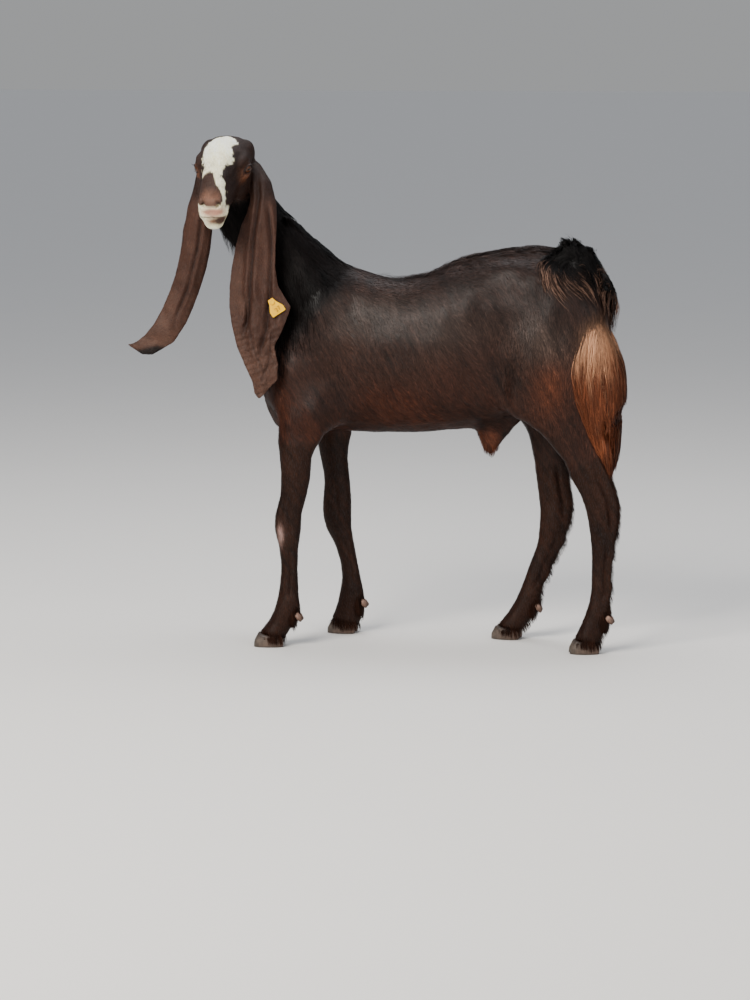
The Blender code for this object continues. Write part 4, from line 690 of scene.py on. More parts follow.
def markings(points, normals, weights):
    q = points - shift
    x, y, z = q.T
    part = dict(zip(regions, weights.T))
    colour = np.tile(np.array(colours["body"]), (len(q), 1))

    def lay(name, mask):
        nonlocal colour
        colour = laid(colour, colours[name], np.clip(mask, 0, 1)[:, None])

    blotch = waves(q, 0.16, 3)
    fine = waves(q, 0.018, 4)
    lay("back", ramp(z + 0.02 * blotch, 0.62, 0.74))
    lay("flank", ramp(-z + 0.03 * blotch, -0.60, -0.48) * (part["torso"] * 0.75 + part["thigh"] * 0.25))
    for side in (-1, 1):
        for name, place, radii, strength, blotched in bodyMarks:
            lay(name, near(q, np.array(place) * (1, side, 1), radii) * (strength + blotched * blotch))
        for name, place, radii in thighMarks:
            lay(name, near(q, np.array(place) * (1, side, 1), radii) * part["thigh"])
    underFringe = ramp(x, 0.462, 0.488) * ramp(-z, -0.66, -0.60) * ramp(z, 0.405, 0.440)
    underFringe = underFringe * ramp(np.abs(y), 0.030, 0.045)
    lay("fringeDark", underFringe * (part["thigh"] + part["leg"] + part["torso"]))
    darkNeck = part["neck"] * (1 - 0.5 * ramp(0.62 * x + z, 0.560, 0.480))
    shade = ramp(z - 1.15 * x - 0.05 * blotch, 0.820, 0.910) * ramp(-x, -0.06, 0.02)
    lay("neck", np.maximum(darkNeck * 0.85, shade * (part["torso"] + part["neck"])))
    lay("black", part["torso"] * near(q, (0.330, 0, 0.840), (0.10, 0.030, 0.030)) * 0.4)
    lay("leg", part["leg"] + part["foot"])
    aroundSheath = 0.4 * near(q, (0.246, 0, 0.450), (0.026, 0.03, 0.02))
    lay("sheath", (part["sheath"] + aroundSheath) * ramp(-x, -0.275, -0.255))
    lay("scrotum", part["scrotum"])
    lay("black", part["tail"])
    lay("kneePatch", near(q, kneeBald, (0.0062, 0.014, 0.0175)) * 1.7)
    ears = part["earLeft"] + part["earRight"]
    lay("ear", ears)
    mottle = waves(q, 0.045, 6)
    lay("earPale", part["earLeft"] * (0.30 * near(q, (-0.270, -0.12, 0.760), (0.016, 0.1, 0.13))
                                      + 0.55 * ramp(-z, -0.700, -0.600) + 0.22 * mottle))
    lay("earPale", part["earRight"] * (0.75 * ramp(-x, 0.395, 0.450) + 0.22 * mottle))
    # painted shade, darker the deeper a place lies in a fold of the ears
    lay("earFoldShade", ears * creases(q) * 0.80)
    lay("face", ears * ramp(z, 0.915, 0.965) * 0.9)
    # painted shade: the right ear's lower edge, which rolls under and faces down, is laid black
    lowerEdgeShade = ramp(-z - 0.25 * np.abs(x + 0.46), -0.636, -0.624)
    lay("black", part["earRight"] * ramp(-x, 0.40, 0.43) * lowerEdgeShade * 0.9)

    # the head, in its own directions: forward, left, up
    h = headPlaces(points)
    f, s, u = h.T
    head = ramp(part["head"], 0.35, 0.65)
    lay("face", head)
    # painted sheen: the top of the head lighter and greyer, as if lit from above
    lay("browSheen", head * ramp(u, 0.020, 0.040) * 0.8)
    for name, place, radii, strength in eyeMarks:
        lay(name, head * near(h, place, radii) * strength)
    ahead = ramp(unit(normals) @ unit(headTurn[0] * 0.55 + headTurn[2] * 0.85), -0.10, 0.25)
    ragged = 0.0025 * fine + 0.0015 * waves(q, 0.008, 5)
    leftEdge = np.interp(f, blazeLeft["forward"], blazeLeft["edge"])
    rightEdge = np.interp(f, blazeRight["forward"], blazeRight["edge"])
    inside = ramp(leftEdge - s + ragged, -0.0015, 0.0015) * ramp(s - rightEdge + ragged, -0.0015, 0.0015)
    lay("white", head * inside * ramp(f + ragged, -0.052, -0.048) * np.maximum(ahead, ramp(f, 0.110, 0.125))
        * np.maximum(ramp(u, -0.030, -0.018), ramp(f, 0.104, 0.118)))
    muzzle = ramp(f, 0.085, 0.096)
    lobe = np.interp(f, noseEdge["forward"], noseEdge["edge"])
    lay("darkNoseAndShadow", head * muzzle * ramp(lobe - s + 0.5 * ragged, -0.001, 0.001) * ramp(u, -0.008, -0.004))
    onNose = near(h, (0.146, 0.000, 0.008), (0.016, 0.022, 0.014)) * ramp(lobe - 0.002 - s, -0.001, 0.002)
    lay("nose", head * onNose * ramp(u, -0.008, -0.005))
    for name, place, radii, strength in muzzleMarks:
        lay(name, head * near(h, place, radii) * strength)
    below = ramp(-u, 0.030, 0.040) * ramp(f, 0.105, 0.125)
    lay("face", head * (1 - ramp(f, 0.104, 0.128)) * ramp(-u, 0.018, 0.030))
    lay("white", head * below * near(h, (0.150, -0.010, -0.060), (0.020, 0.018, 0.010)))
    # painted shade along the line between the lips
    lay("mouth", head * ramp(f, 0.120, 0.135) * np.exp(-(mouthLine(h) / 0.0014)**2) * 0.85)
    for side in (-1, 1):
        # painted shade inside the nostrils; the rims of the lids on the next line are dark skin
        lay("darkRimAndNostrilShade", head * near(h, (0.1545, side * 0.0155, 0.0010), (0.0050, 0.0034, 0.0030)) * 1.3)
        lay("darkRimAndNostrilShade", head * (side * s > 0.03) * (1 - ramp(lidReach(h, side), 1.12, 1.36)) * 0.9)
    # streaks along the lie of the coat, but not on the head, the ears and the feet
    downward = np.stack([(0.85 * x + 0.52 * z) / 0.011, y / 0.05, (0.52 * x - 0.85 * z) / 0.075], 1)
    streak = 0.6 * waves(downward, 1.0, 7) + 0.5 * waves(downward * 0.45, 1.0, 8)
    smooth = 1 - np.clip(ears + part["head"] + part["foot"], 0, 1)
    plan = unevenness
    tone = 1 + plan["fine"] * fine + plan["blotches"] * blotch + plan["streaks"] * streak * smooth
    return np.clip(colour * np.clip(tone, plan["least"], plan["most"])[:, None], 0.001, 1)


def bareness(points, weights):
    # where skin shows: nose, lips and lids
    h = headPlaces(points)
    head = weights[:, regions.index("head")]
    bare = near(h, (0.156, 0.000, 0.000), (0.010, 0.018, 0.012))
    bare = bare + near(h, (0.157, 0.000, -0.025), (0.008, 0.020, 0.006))
    for side in (-1, 1):
        bare += (side * h[:, 1] > 0.03) * (1 - ramp(lidReach(h, side), 1.20, 1.55))
    return np.clip(bare * head * 1.3, 0, 1)


paint(skin.data, markings(skinPoints, skinNormals, skinRegions))
paintValue(skin.data, "bare", bareness(skinPoints, skinRegions))
print("markings")


# Shader maths
class Value:
    def __init__(self, finish, socket):
        self.finish, self.socket = finish, socket

    def worked(self, operation, first, second):
        return self.finish.node("ShaderNodeMath", {"operation": operation}, {0: first, 1: second})

    def __add__(self, other):
        return self.worked("ADD", self, other)

    def __radd__(self, other):
        return self.worked("ADD", other, self)

    def __sub__(self, other):
        return self.worked("SUBTRACT", self, other)

    def __rsub__(self, other):
        return self.worked("SUBTRACT", other, self)

    def __mul__(self, other):
        return self.worked("MULTIPLY", self, other)

    def __rmul__(self, other):
        return self.worked("MULTIPLY", other, self)


class Finish:
    def __init__(self, name, kind="materials", shader="Principled BSDF", **constants):
        self.material = getattr(bpy.data, kind).new(name)
        self.material.use_nodes = True
        self.tree = self.material.node_tree
        self.shader = self.tree.nodes[shader]
        for socket, value in constants.items():
            self.shader.inputs[socket.replace("_", " ")].default_value = value

    def node(self, kind, settings=None, inputs=None, output=0):
        made = self.tree.nodes.new(kind)
        for key, value in (settings or {}).items():
            if key == "stops":
                while len(made.color_ramp.elements) < len(value):
                    made.color_ramp.elements.new(0.5)
                for element, (place, colour) in zip(made.color_ramp.elements, value):
                    element.position = place
                    element.color = (*colour, 1)
            else:
                setattr(made, key, value)
        self.connect(made, inputs or {})
        return Value(self, made.outputs[output])

    def connect(self, made, inputs):
        for key, value in inputs.items():
            if isinstance(value, Value):
                self.tree.links.new(value.socket, made.inputs[key])
            else:
                made.inputs[key].default_value = value

    def feed(self, **sockets):
        self.connect(self.shader, {name.replace("_", " "): value for name, value in sockets.items()})

    def attribute(self, name, output="Color"):
        return self.node("ShaderNodeAttribute", {"attribute_name": name}, output=output)

    def noise(self, scale, detail=3.0, roughness=0.55, where=None, output="Fac"):
        inputs = {"Scale": scale, "Detail": detail, "Roughness": roughness}
        if where:
            inputs["Vector"] = where
        return self.node("ShaderNodeTexNoise", None, inputs, output)

    def ownPlace(self, stretch=(1, 1, 1)):
        place = self.node("ShaderNodeTexCoord", output="Object")
        return self.node("ShaderNodeMapping", None, {"Vector": place, "Scale": stretch})

    def mixed(self, share, first, second, blend="MIX"):
        return self.node("ShaderNodeMix", {"data_type": "RGBA", "blend_type": blend},
                         {"Factor": share, 6: first, 7: second}, 2)

    def bump(self, height, distance, strength=1.0):
        inputs = {"Height": height, "Distance": distance, "Strength": strength}
        return self.node("ShaderNodeBump", None, inputs)


def skinFinish():
    finish = Finish("goat_skin", Specular_IOR_Level=0.35)
    bare = finish.attribute("bare", "Fac")
    own = finish.ownPlace()
    speckle = finish.noise(900, 2, where=own)
    stops = [(0.3, (0.62, 0.60, 0.58)), (0.75, (1, 1, 1))]
    tone = finish.node("ShaderNodeValToRGB", {"stops": stops}, {0: speckle})
    pores = finish.noise(1100, 3, where=own) + finish.noise(260, 3, where=own)
    finish.feed(Base_Color=finish.mixed(0.8, finish.attribute("markings"), tone, "MULTIPLY"),
                Roughness=0.60 - 0.20 * bare, Normal=finish.bump(pores, 0.0006))
    return finish.material


def coatFinish(name, roughness, specular):
    finish = Finish(name, Specular_IOR_Level=specular)
    patchy = finish.noise(55, 3, where=finish.ownPlace())
    finish.feed(Base_Color=finish.attribute("markings"), Roughness=roughness + 0.12 * patchy)
    return finish.material


skin.data.materials.append(skinFinish())
coatMaterial = coatFinish("goat_coat", 0.40, 0.19)
legMaterial = coatFinish("goat_leg_coat", 0.40, 0.15)
shortMaterial = coatFinish("goat_short_coat", 0.60, 0.18)
longMaterial = coatFinish("goat_long_hair", 0.52, 0.12)
darkMaterial = coatFinish("goat_dark_hair", 0.50, 0.07)


# The coat
coatPlan = {
    # region: tufts per square metre, length, width, height of the tips, all in metres
    "torso": (180000, 0.0200, 0.00112, 0.0021),
    "neck": (190000, 0.0300, 0.00125, 0.0042),
    "head": (600000, 0.0056, 0.00068, 0.0007),
    "earLeft": (400000, 0.0052, 0.00058, 0.00045),
    "earRight": (400000, 0.0052, 0.00058, 0.00045),
    "tail": (150000, 0.0150, 0.0012, 0.0032),
    "thigh": (180000, 0.0190, 0.00112, 0.0021),
    "leg": (270000, 0.0105, 0.00092, 0.0010),
    "foot": (340000, 0.0100, 0.00088, 0.0013),
    "sheath": (300000, 0.0120, 0.0009, 0.0024),
    "scrotum": (300000, 0.0080, 0.0008, 0.0014),
    "share": 1.0,
    "widen": 1.0,      # and wider ones
    "sink": 0.0008,                           # how deep the roots stand in the skin
    "tones": 0.28,                            # how much the tufts differ in lightness
    "sway": 0.13,                             # and in direction
    "muzzle": 0.55,                           # share of their length that they lose at the muzzle
}


def lieOfCoat(points, normals, weights):
    # the way the hair points at each place, along the skin
    q = points - shift
    x, y, z = q.T
    part = dict(zip(regions, weights.T))
    lie = np.zeros((len(q), 3))

    def toward(mask, direction):
        nonlocal lie
        lie = lie + np.asarray(mask)[:, None] * unit(np.broadcast_to(np.asarray(direction, float), lie.shape))

    top = ramp(unit(normals)[:, 2], 0.25, 0.95)
    under = ramp(-unit(normals)[:, 2], 0.35, 0.95)
    side = 1 - top - under
    torso = part["torso"] + part["sheath"]
    toward(torso * top, (1, 0, -0.1))
    toward(torso * side, (0.52, 0, -0.85))
    toward(torso * under, (1, 0, 0.1))
    rump = ramp(x, 0.36, 0.46) * torso
    toward(rump, (0.25, 0, -1.0))
    toward(part["neck"] * (1 - top), (0.42, 0, -0.9))
    toward(part["neck"] * top, (0.75, 0, -0.65))
    toward(part["thigh"], np.stack([0.30 - 0.25 * ramp(x, 0.35, 0.5), 0 * x, -1 + 0 * x], 1))
    toward(part["leg"] + part["foot"] + part["scrotum"], (0.10, 0, -1))
    toward(part["tail"], unit(q - np.array((0.424, 0.0, 0.812))) + 1e-6)
    h = headPlaces(points)
    back = -headTurn[0]
    outward = np.sign(h[:, 1:2]) * headTurn[1] * ramp(np.abs(h[:, 1:2]), 0.004, 0.05) * 0.5
    upper = ramp(h[:, 2], -0.03, 0.0)
    toward(part["head"] * upper, back + outward)
    toward(part["head"] * (1 - upper), back - headTurn[2] * 0.35)
    toward(part["earLeft"], (0.02, 0, -1))
    outer = ramp(-x, 0.40, 0.48)
    toward(part["earRight"], np.stack([-0.25 - 1.3 * outer, 0 * x, -1 + 0.75 * outer], 1))
    n = unit(normals)
    lie = lie + 0.16 * np.stack([waves(q, 0.07, 31), waves(q, 0.07, 32), waves(q, 0.07, 33)], 1)
    lie = lie - n * (lie * n).sum(1)[:, None]
    return unit(lie)


def scatter(density, total=None):
    # roots spread over the skin by density per square metre at its vertices, or by share of a given total
    corners = skinPoints[skinTriangles]
    area = np.linalg.norm(np.cross(corners[:, 1] - corners[:, 0], corners[:, 2] - corners[:, 0]), axis=1) / 2
    expected = area * density[skinTriangles].mean(1)
    if total:
        expected *= total / expected.sum()
    count = int(expected.sum())
    edges = np.cumsum(expected)
    # even steps along the running total, jittered, so that roots stay evenly spaced
    ticks = (np.arange(count) + chance.uniform(0, 1, count)) / count * edges[-1]
    face = np.minimum(np.searchsorted(edges, ticks), len(edges) - 1)
    a, b = chance.uniform(0, 1, (2, count))
    flip = a + b > 1
    a[flip], b[flip] = 1 - a[flip], 1 - b[flip]
    share = np.stack([1 - a - b, a, b], 1)
    return face, share


def atRoots(values, face, share):
    return (values[skinTriangles[face]] * share[:, :, None]).sum(1)


def ribbonMesh(name, paths, outward, widths, colour, roots, rootNormals, softNormals=0.8, roll=0.22):
    # paths n x m x 3, with the last point the tip; outward, the way each ribbon faces; widths n x (m - 1)
    count, steps = paths.shape[:2]
    rungs = steps - 1
    along = unit(np.diff(paths, axis=1))
    across = unit(np.cross(along, outward[:, :rungs]))
    facing = unit(np.cross(across, along) + across * chance.normal(0, roll, (count, 1, 1)))
    across = unit(np.cross(along, facing))
    sides = across * widths[:, :, None] / 2
    body = np.stack([paths[:, :-1] - sides, paths[:, :-1] + sides], 2).reshape(count, rungs * 2, 3)
    points = np.concatenate([body, paths[:, -1:]], 1)
    per = rungs * 2 + 1
    one = []
    for i in range(rungs - 1):
        a = 2 * i
        one += [(a, a + 1, a + 3), (a, a + 3, a + 2)]
    one.append((per - 3, per - 2, per - 1))
    triangles = (np.array(one)[None] + (np.arange(count) * per)[:, None, None]).reshape(-1, 3)
    mesh = meshOfTriangles(name, points.reshape(-1, 3), triangles)
    if colour.ndim == 2:
        colour = np.repeat(colour[:, None], per, 1)
    else:
        colour = np.concatenate([np.repeat(colour[:, :-1], 2, 1), colour[:, -1:]], 1)
    paint(mesh, colour.reshape(-1, 3))
    # the shading follows the form under the hair more than each blade
    own = readVectors(mesh.vertex_normals, "vector").reshape(count, per, 3)
    form = np.concatenate([np.repeat(outward[:, :-1], 2, 1), outward[:, -1:]], 1)
    mixed = unit(own * (1 - softNormals) + unit(form) * softNormals)
    mesh.normals_split_custom_set_from_vertices(mixed.reshape(-1, 3).astype(np.float32).tolist())
    rootMap(mesh, roots, rootNormals, per)
    return newObject(name, mesh)


def rootMap(mesh, roots, normals, per):
    # OFBake: the skin's six sides laid out side by side, each tuft a small patch where it is rooted
    low, high = roots.min(0), roots.max(0)
    place = (roots - low) / np.maximum(high - low, 1e-6)
    axis = np.abs(normals).argmax(1)
    positive = normals[np.arange(len(normals)), axis] > 0
    plane = np.array([(1, 2), (0, 2), (0, 1)])[axis]
    inner = np.take_along_axis(place, plane, 1) * 0.96 + 0.02
    uv = np.stack([(inner[:, 0] + axis) / 3, (inner[:, 1] + positive) / 2], 1)
    patch = np.stack([np.tile((-0.5, 0.5), per)[:per], np.linspace(-0.5, 0.5, per)], 1) * 0.003
    points = (uv[:, None] + patch[None]).reshape(-1, 2)
    corner = readVectors(mesh.loops, "vertex_index", 1, np.int32)
    layer = mesh.uv_layers.new(name="OFBake")
    layer.uv.foreach_set("vector", points[corner].astype(np.float32).ravel())


def tufts(face, share, name):
    count = len(face)
    weights = atRoots(skinRegions, face, share)
    roots = atRoots(skinPoints, face, share)
    normals = unit(atRoots(skinNormals, face, share))
    plan = weights @ np.array([coatPlan[r][1:] for r in regions])
    vary = chance.uniform(0.7, 1.25, count)
    length, width, height = plan[:, 0] * vary, plan[:, 1] * chance.uniform(0.7, 1.2, count), plan[:, 2]
    height = height * chance.uniform(0.45, 1.25, count)
    muzzle = weights[:, regions.index("head")] * ramp(headPlaces(roots)[:, 0], 0.110, 0.145)
    length = length * (1 - coatPlan["muzzle"] * muzzle)
    lie = lieOfCoat(roots, normals, weights)
    lie = unit(lie + np.cross(normals, lie) * chance.normal(0, coatPlan["sway"], count)[:, None])
    tips = roots + lie * length[:, None]
    landed = [skinTree.find_nearest(Vector(p)) for p in tips]
    tipSpot = np.array([hit[0] for hit in landed])
    tipNormal = np.array([hit[1] for hit in landed])
    ends = tipSpot + tipNormal * height[:, None]
    sink = np.minimum(coatPlan["sink"], height * 0.5)
    starts = roots - normals * sink[:, None]
    middle = (roots + tipSpot) / 2 + (normals + tipNormal) * (height * 0.52)[:, None]
    bulge = ((roots - tipSpot) * (normals - tipNormal)).sum(1) * 0.125
    middle = middle + normals * np.clip(bulge, -0.002, 0.003)[:, None]
    paths = np.stack([starts, middle, ends], 1)
    outward = np.stack([normals, unit(normals + tipNormal), tipNormal], 1)
    widths = np.stack([width * 0.8, width], 1) * coatPlan["widen"]
    colour = markings(roots, normals, weights)
    tone = chance.lognormal(0, coatPlan["tones"], count)[:, None]
    steps = np.array([0.80, 1.0, 1.15])[None, :, None]     # lighter toward the tips
    shown = np.clip(colour[:, None] * tone[:, None] * steps, 0, 0.95)
    piece = ribbonMesh(name, paths, outward, widths, shown, roots, normals)
    piece.data.materials.append(coatPieces[name][2])
    return piece


print("coat")
density = skinRegions @ np.array([coatPlan[r][0] for r in regions]) * coatPlan["share"]
density = density * (1 - 0.97 * bareness(skinPoints, skinRegions))
kneeBare = near(skinPoints - shift, kneeBald, (0.0055, 0.012, 0.016))
density = density * (1 - 0.8 * np.clip(kneeBare * 1.5, 0, 1))
allFaces, allShares = scatter(density)
rootRegion = skinRegions[skinTriangles[allFaces, 0]].argmax(1)
rootPlace = skinPoints[skinTriangles[allFaces, 0]] - shift
rootHead = headPlaces(skinPoints[skinTriangles[allFaces, 0]])
bodyLeft, headLeft = rootPlace[:, 1] < 0, rootHead[:, 1] > 0
everywhere = np.ones(len(allFaces), bool)
coatPieces = {   # regions, side, material
    "coat_torso_left": (("torso", "sheath", "scrotum"), bodyLeft, coatMaterial),
    "coat_torso_right": (("torso", "sheath", "scrotum"), ~bodyLeft, coatMaterial),
    "coat_thigh_left": (("thigh",), bodyLeft, coatMaterial),
    "coat_thigh_right": (("thigh",), ~bodyLeft, coatMaterial),
    "coat_neck": (("neck",), everywhere, darkMaterial),
    "coat_head_left": (("head",), headLeft, shortMaterial),
    "coat_head_right": (("head",), ~headLeft, shortMaterial),
    "coat_ear_left": (("earLeft",), everywhere, shortMaterial),
    "coat_ear_right": (("earRight",), everywhere, shortMaterial),
    "coat_tail": (("tail",), everywhere, darkMaterial),
    "coat_legs_left": (("leg", "foot"), bodyLeft, legMaterial),
    "coat_legs_right": (("leg", "foot"), ~bodyLeft, legMaterial),
}
coats = []
for pieceName, (partNames, half, _) in coatPieces.items():
    mine = np.isin(rootRegion, [regions.index(r) for r in partNames]) & half
    piece = tufts(allFaces[mine], allShares[mine], pieceName)
    coats.append(piece)
    print(pieceName, int(mine.sum()), "tufts", len(piece.data.polygons), "triangles")


# Long hair
leafRows = [   # height, middle and half width of the fringe, seen from the side
    (0.374, 0.505, 0.001), (0.394, 0.501, 0.011), (0.438, 0.496, 0.027), (0.492, 0.488, 0.045),
    (0.544, 0.4835, 0.0555), (0.581, 0.480, 0.059), (0.627, 0.479, 0.051), (0.671, 0.480, 0.034),
    (0.705, 0.488, 0.016),
]
hairPlan = {
    # strands, shortest and longest, width, steps along each, lift off the skin, pull toward its lock
    "breech": (7600, (0.075, 0.125), 0.0011, 6, 0.30, 0.55),
    "tail": (8500, (0.040, 0.078), 0.0009, 6, 0.34, 0.45),
    "crest": (3600, (0.026, 0.046), 0.0010, 5, 0.35, 0.60),
    "neck": (6500, (0.030, 0.052), 0.0010, 5, 0.16, 0.50),
    "feathers": (3400, (0.010, 0.020), 0.0008, 4, 0.10, 0.30),
    "fetlocks": (5600, (0.014, 0.029), 0.0009, 4, 0.18, 0.35),
    "sheath": (220, (0.009, 0.018), 0.0008, 5, 0.30, 0.60),
    "guides": 16,          # strands to each lock
    "reach": 0.016,        # how far from its lock's middle a strand still joins it
    "quickShare": 0.5,
    "floor": 0.0008,       # no strand hangs lower
    "root": 0.001,         # how deep a strand starts in the skin
    "swing": 0.20,         # how much it sways to its sides
    "stand": 0.022,        # how far the most lifted strands stand off the skin
    "least": 0.0015,       # and the lowest
}
fringeOut = np.array([   # height, and how far out from the middle of the body the fringe hangs
    (0.374, 0.096), (0.446, 0.101), (0.520, 0.112), (0.570, 0.114), (0.640, 0.108), (0.700, 0.075),
])


def leafFlow(q):
    # along the fringe: strands fan out from its top and draw together at its tip
    rows = np.array(leafRows)
    x, z = q[:, 0], q[:, 2]
    middle, half = np.interp(z, rows[:, 0], rows[:, 1]), np.interp(z, rows[:, 0], rows[:, 2])
    ahead = np.clip(z - 0.012, rows[0, 0], rows[-1, 0])
    nextMiddle, nextHalf = np.interp(ahead, rows[:, 0], rows[:, 1]), np.interp(ahead, rows[:, 0], rows[:, 2])
    across = np.clip((x - middle) / np.maximum(half, 0.004), -1.25, 1.15)
    slope = np.clip((nextMiddle + across * nextHalf - x) / 0.012, -0.9, 0.9)
    return np.stack([slope, np.zeros(len(q)), -np.ones(len(q))], 1), across


def breechHeading(q, side, s):
    flow, across = leafFlow(q)
    outer = np.interp(q[:, 2] - 0.01, fringeOut[:, 0], fringeOut[:, 1]) * (1 - 0.22 * across**2)
    flow[:, 1] = side * np.clip((outer - np.abs(q[:, 1])) / 0.03, -0.7, 0.10)
    return unit(flow)


tailMiddle = np.array((0.424, -0.040, 0.812))


def tailHeading(q, side, s):
    # round the dark middle: down its left, to the right below, down its right, up at the top
    away = q - tailMiddle
    ring = unit(away * (1, 0.3, 1))
    circling = np.stack([-ring[:, 2], 0 * ring[:, 0], ring[:, 0]], 1)
    low, right = ramp(-away[:, 2], -0.012, 0.012), ramp(away[:, 0], 0.004, 0.024)
    high = ramp(away[:, 2], 0.010, 0.030) * (1 - right)
    flow = circling * (1 - 0.3 * high - right * 0.9)[:, None] + ring * (0.30 + 0.35 * high)[:, None]
    flow += right[:, None] * np.array((0.10, -0.05, -1.0)) + low[:, None] * np.array((0.42, -0.10, -0.38))
    flow -= ramp(q[:, 0], 0.458, 0.488)[:, None] * np.array((1.00, 0.0, 0.30))
    return unit(flow)


def crestHeading(q, side, s):
    sway = 0.22 * np.sin(q[:, 0] * 70 + 3) + 0.15 * waves(q, 0.05, 61)
    fall = np.sign(q[:, 1] + 0.004 * np.sin(q[:, 0] * 40)) * 0.30
    return unit(np.stack([1 + 0 * sway, fall + sway * 0.6, -0.30 * s + 0.10 + 0.4 * sway], 1))


def neckHeading(q, side, s):
    under = ramp(-(q[:, 2] + 0.9 * q[:, 0]), -0.70, -0.55)[:, None]
    return unit(np.array((0.52, 0.0, -0.85)) * (1 - under) + np.array((0.18, 0.0, -1.0)) * under)


def hanging(backward):
    # straight down but for a lean to the back
    return lambda q, side, s: unit(np.tile((backward, 0.0, -1.0), (len(q), 1)))


def sheathHeading(q, side, s):
    return unit(np.stack([0.15 - 8 * (q[:, 0] - 0.245), -6 * q[:, 1], -1.0 + 0 * q[:, 0]], 1))


def solidTree(skinToo, start):
    # the solids whose names begin so, and the skin with them but for the undersides of the pasterns
    points = [skinPoints] if skinToo else []
    under = (skinNormals[skinTriangles].mean(1)[:, 2] < -0.5) & (skinPoints[skinTriangles[:, 0], 2] < 0.070)
    triangles = [skinTriangles[~under]] if skinToo else []
    count = len(skinPoints) if skinToo else 0
    for name in [n for n in nodes if n.startswith(start)]:
        mesh = nodes[name].data
        points.append(placesOf(mesh))
        level = readVectors(mesh.polygon_normals, "vector")[:, 2] > 0.78    # the tops, under the pasterns
        triangles.append(trianglesOf(mesh)[~level] + count)
        count += len(points[-1])
    return treeOf(np.concatenate(points), np.concatenate(triangles))


hairTree = solidTree(True, "claw_")
clawTree, dewclawTree = solidTree(False, "claw_"), solidTree(False, "dewclaw_")


def grown(roots, normals, lengths, steps, lift, heading, side):
    # strands that leave the skin and turn into the lie of the hair, kept off the skin all the way
    count = len(roots)
    place = roots - normals * hairPlan["root"]
    pointing = unit(normals * lift + heading(roots - shift, side, 0) * (1 - lift))
    swing = chance.uniform(0, 6.28, (count, 1))
    swayed = unit(np.cross(normals, pointing))
    height = chance.uniform(0.15, 1.0, count)**1.3 * lift * hairPlan["stand"] + hairPlan["least"]
    paths, outs = [place], [normals]
    for i in range(steps):
        s = (i + 1) / steps
        goal = heading(place - shift, side, s) + swayed * np.sin(swing + 5.5 * s) * hairPlan["swing"]
        pointing = unit(pointing * 0.5 + unit(goal) * 0.5)
        place = place + pointing * (lengths / steps)[:, None]
        landed = [hairTree.find_nearest(Vector(p)) for p in place]
        spot = np.array([hit[0] for hit in landed])
        out = np.array([hit[1] for hit in landed])
        off = ((place - spot) * out).sum(1)
        close = np.linalg.norm(place - spot, axis=1) < 0.03
        wanted = height * min(1.0, 1.6 * s)
        place = place + out * (np.maximum(wanted - off, 0) * close)[:, None]
        paths.append(place)
        outs.append(unit(out * 0.5 + outs[-1] * 0.5))
    return np.stack(paths, 1), np.stack(outs, 1)


def clumped(paths, roots, share):
    # draws strands toward the guide of their lock, most at the tips
    count = len(roots)
    guides = chance.choice(count, max(count // hairPlan["guides"], 1), replace=False)
    tree = KDTree(len(guides))
    for i, g in enumerate(guides):
        tree.insert(Vector(roots[g]), i)
    tree.balance()
    found = [tree.find(Vector(p)) for p in roots]
    mine = guides[[f[1] for f in found]]
    close = 1 - ramp(np.array([f[2] for f in found]), hairPlan["reach"] * 0.5, hairPlan["reach"])
    s = np.linspace(0, 1, paths.shape[1])[None, :, None]
    pull = share * s**1.4 * close[:, None, None] * chance.uniform(0.5, 1.15, (count, 1, 1))
    return paths + (paths[mine] - paths) * np.clip(pull, 0, 0.92), mine


def longHair(name, kind, mask, heading, tint, side=1, scale=None):
    strands, lengthRange, width, steps, lift, clump = hairPlan[kind]
    face, share = scatter(np.clip(mask, 0, 1), strands * (1))
    roots = atRoots(skinPoints, face, share)
    normals = unit(atRoots(skinNormals, face, share))
    q = roots - shift
    lengths = chance.uniform(*lengthRange, len(roots))
    if scale is not None:
        lengths = lengths * scale(q)
    paths, outs = grown(roots, normals, lengths, steps, lift, heading, side)
    paths, lock = clumped(paths, roots, clump)
    paths[:, :, 2] = np.maximum(paths[:, :, 2], hairPlan["floor"])
    taper = np.interp(np.arange(steps) / steps, (0, 0.15, 0.6, 1), (0.7, 1.0, 0.85, 0.35))
    widths = width * taper[None] * chance.uniform(0.7, 1.2, (len(roots), 1)) * coatPlan["widen"]
    colour = tint(q, normals, lock, np.linspace(0, 1, steps + 1))
    piece = ribbonMesh(name, paths, outs, widths, np.clip(colour, 0, 0.95), roots, normals, 0.7, 0.35)
    piece.data.materials.append(darkMaterial if kind in ("neck", "tail", "fetlocks") else longMaterial)
    print(name, len(roots), "strands", len(piece.data.polygons), "triangles")
    return piece


def toned(base, lock, steps, spread=0.28):
    # base n x 3, made lighter and darker by strand and by lock, and a little lighter to the tips
    own = chance.lognormal(0, spread * 0.7, (len(base), 1, 1))
    shared = np.random.default_rng(77).lognormal(0, spread, int(lock.max()) + 1)[lock][:, None, None]
    return base[:, None] * own * shared * (0.75 + 0.45 * steps)[None, :, None]


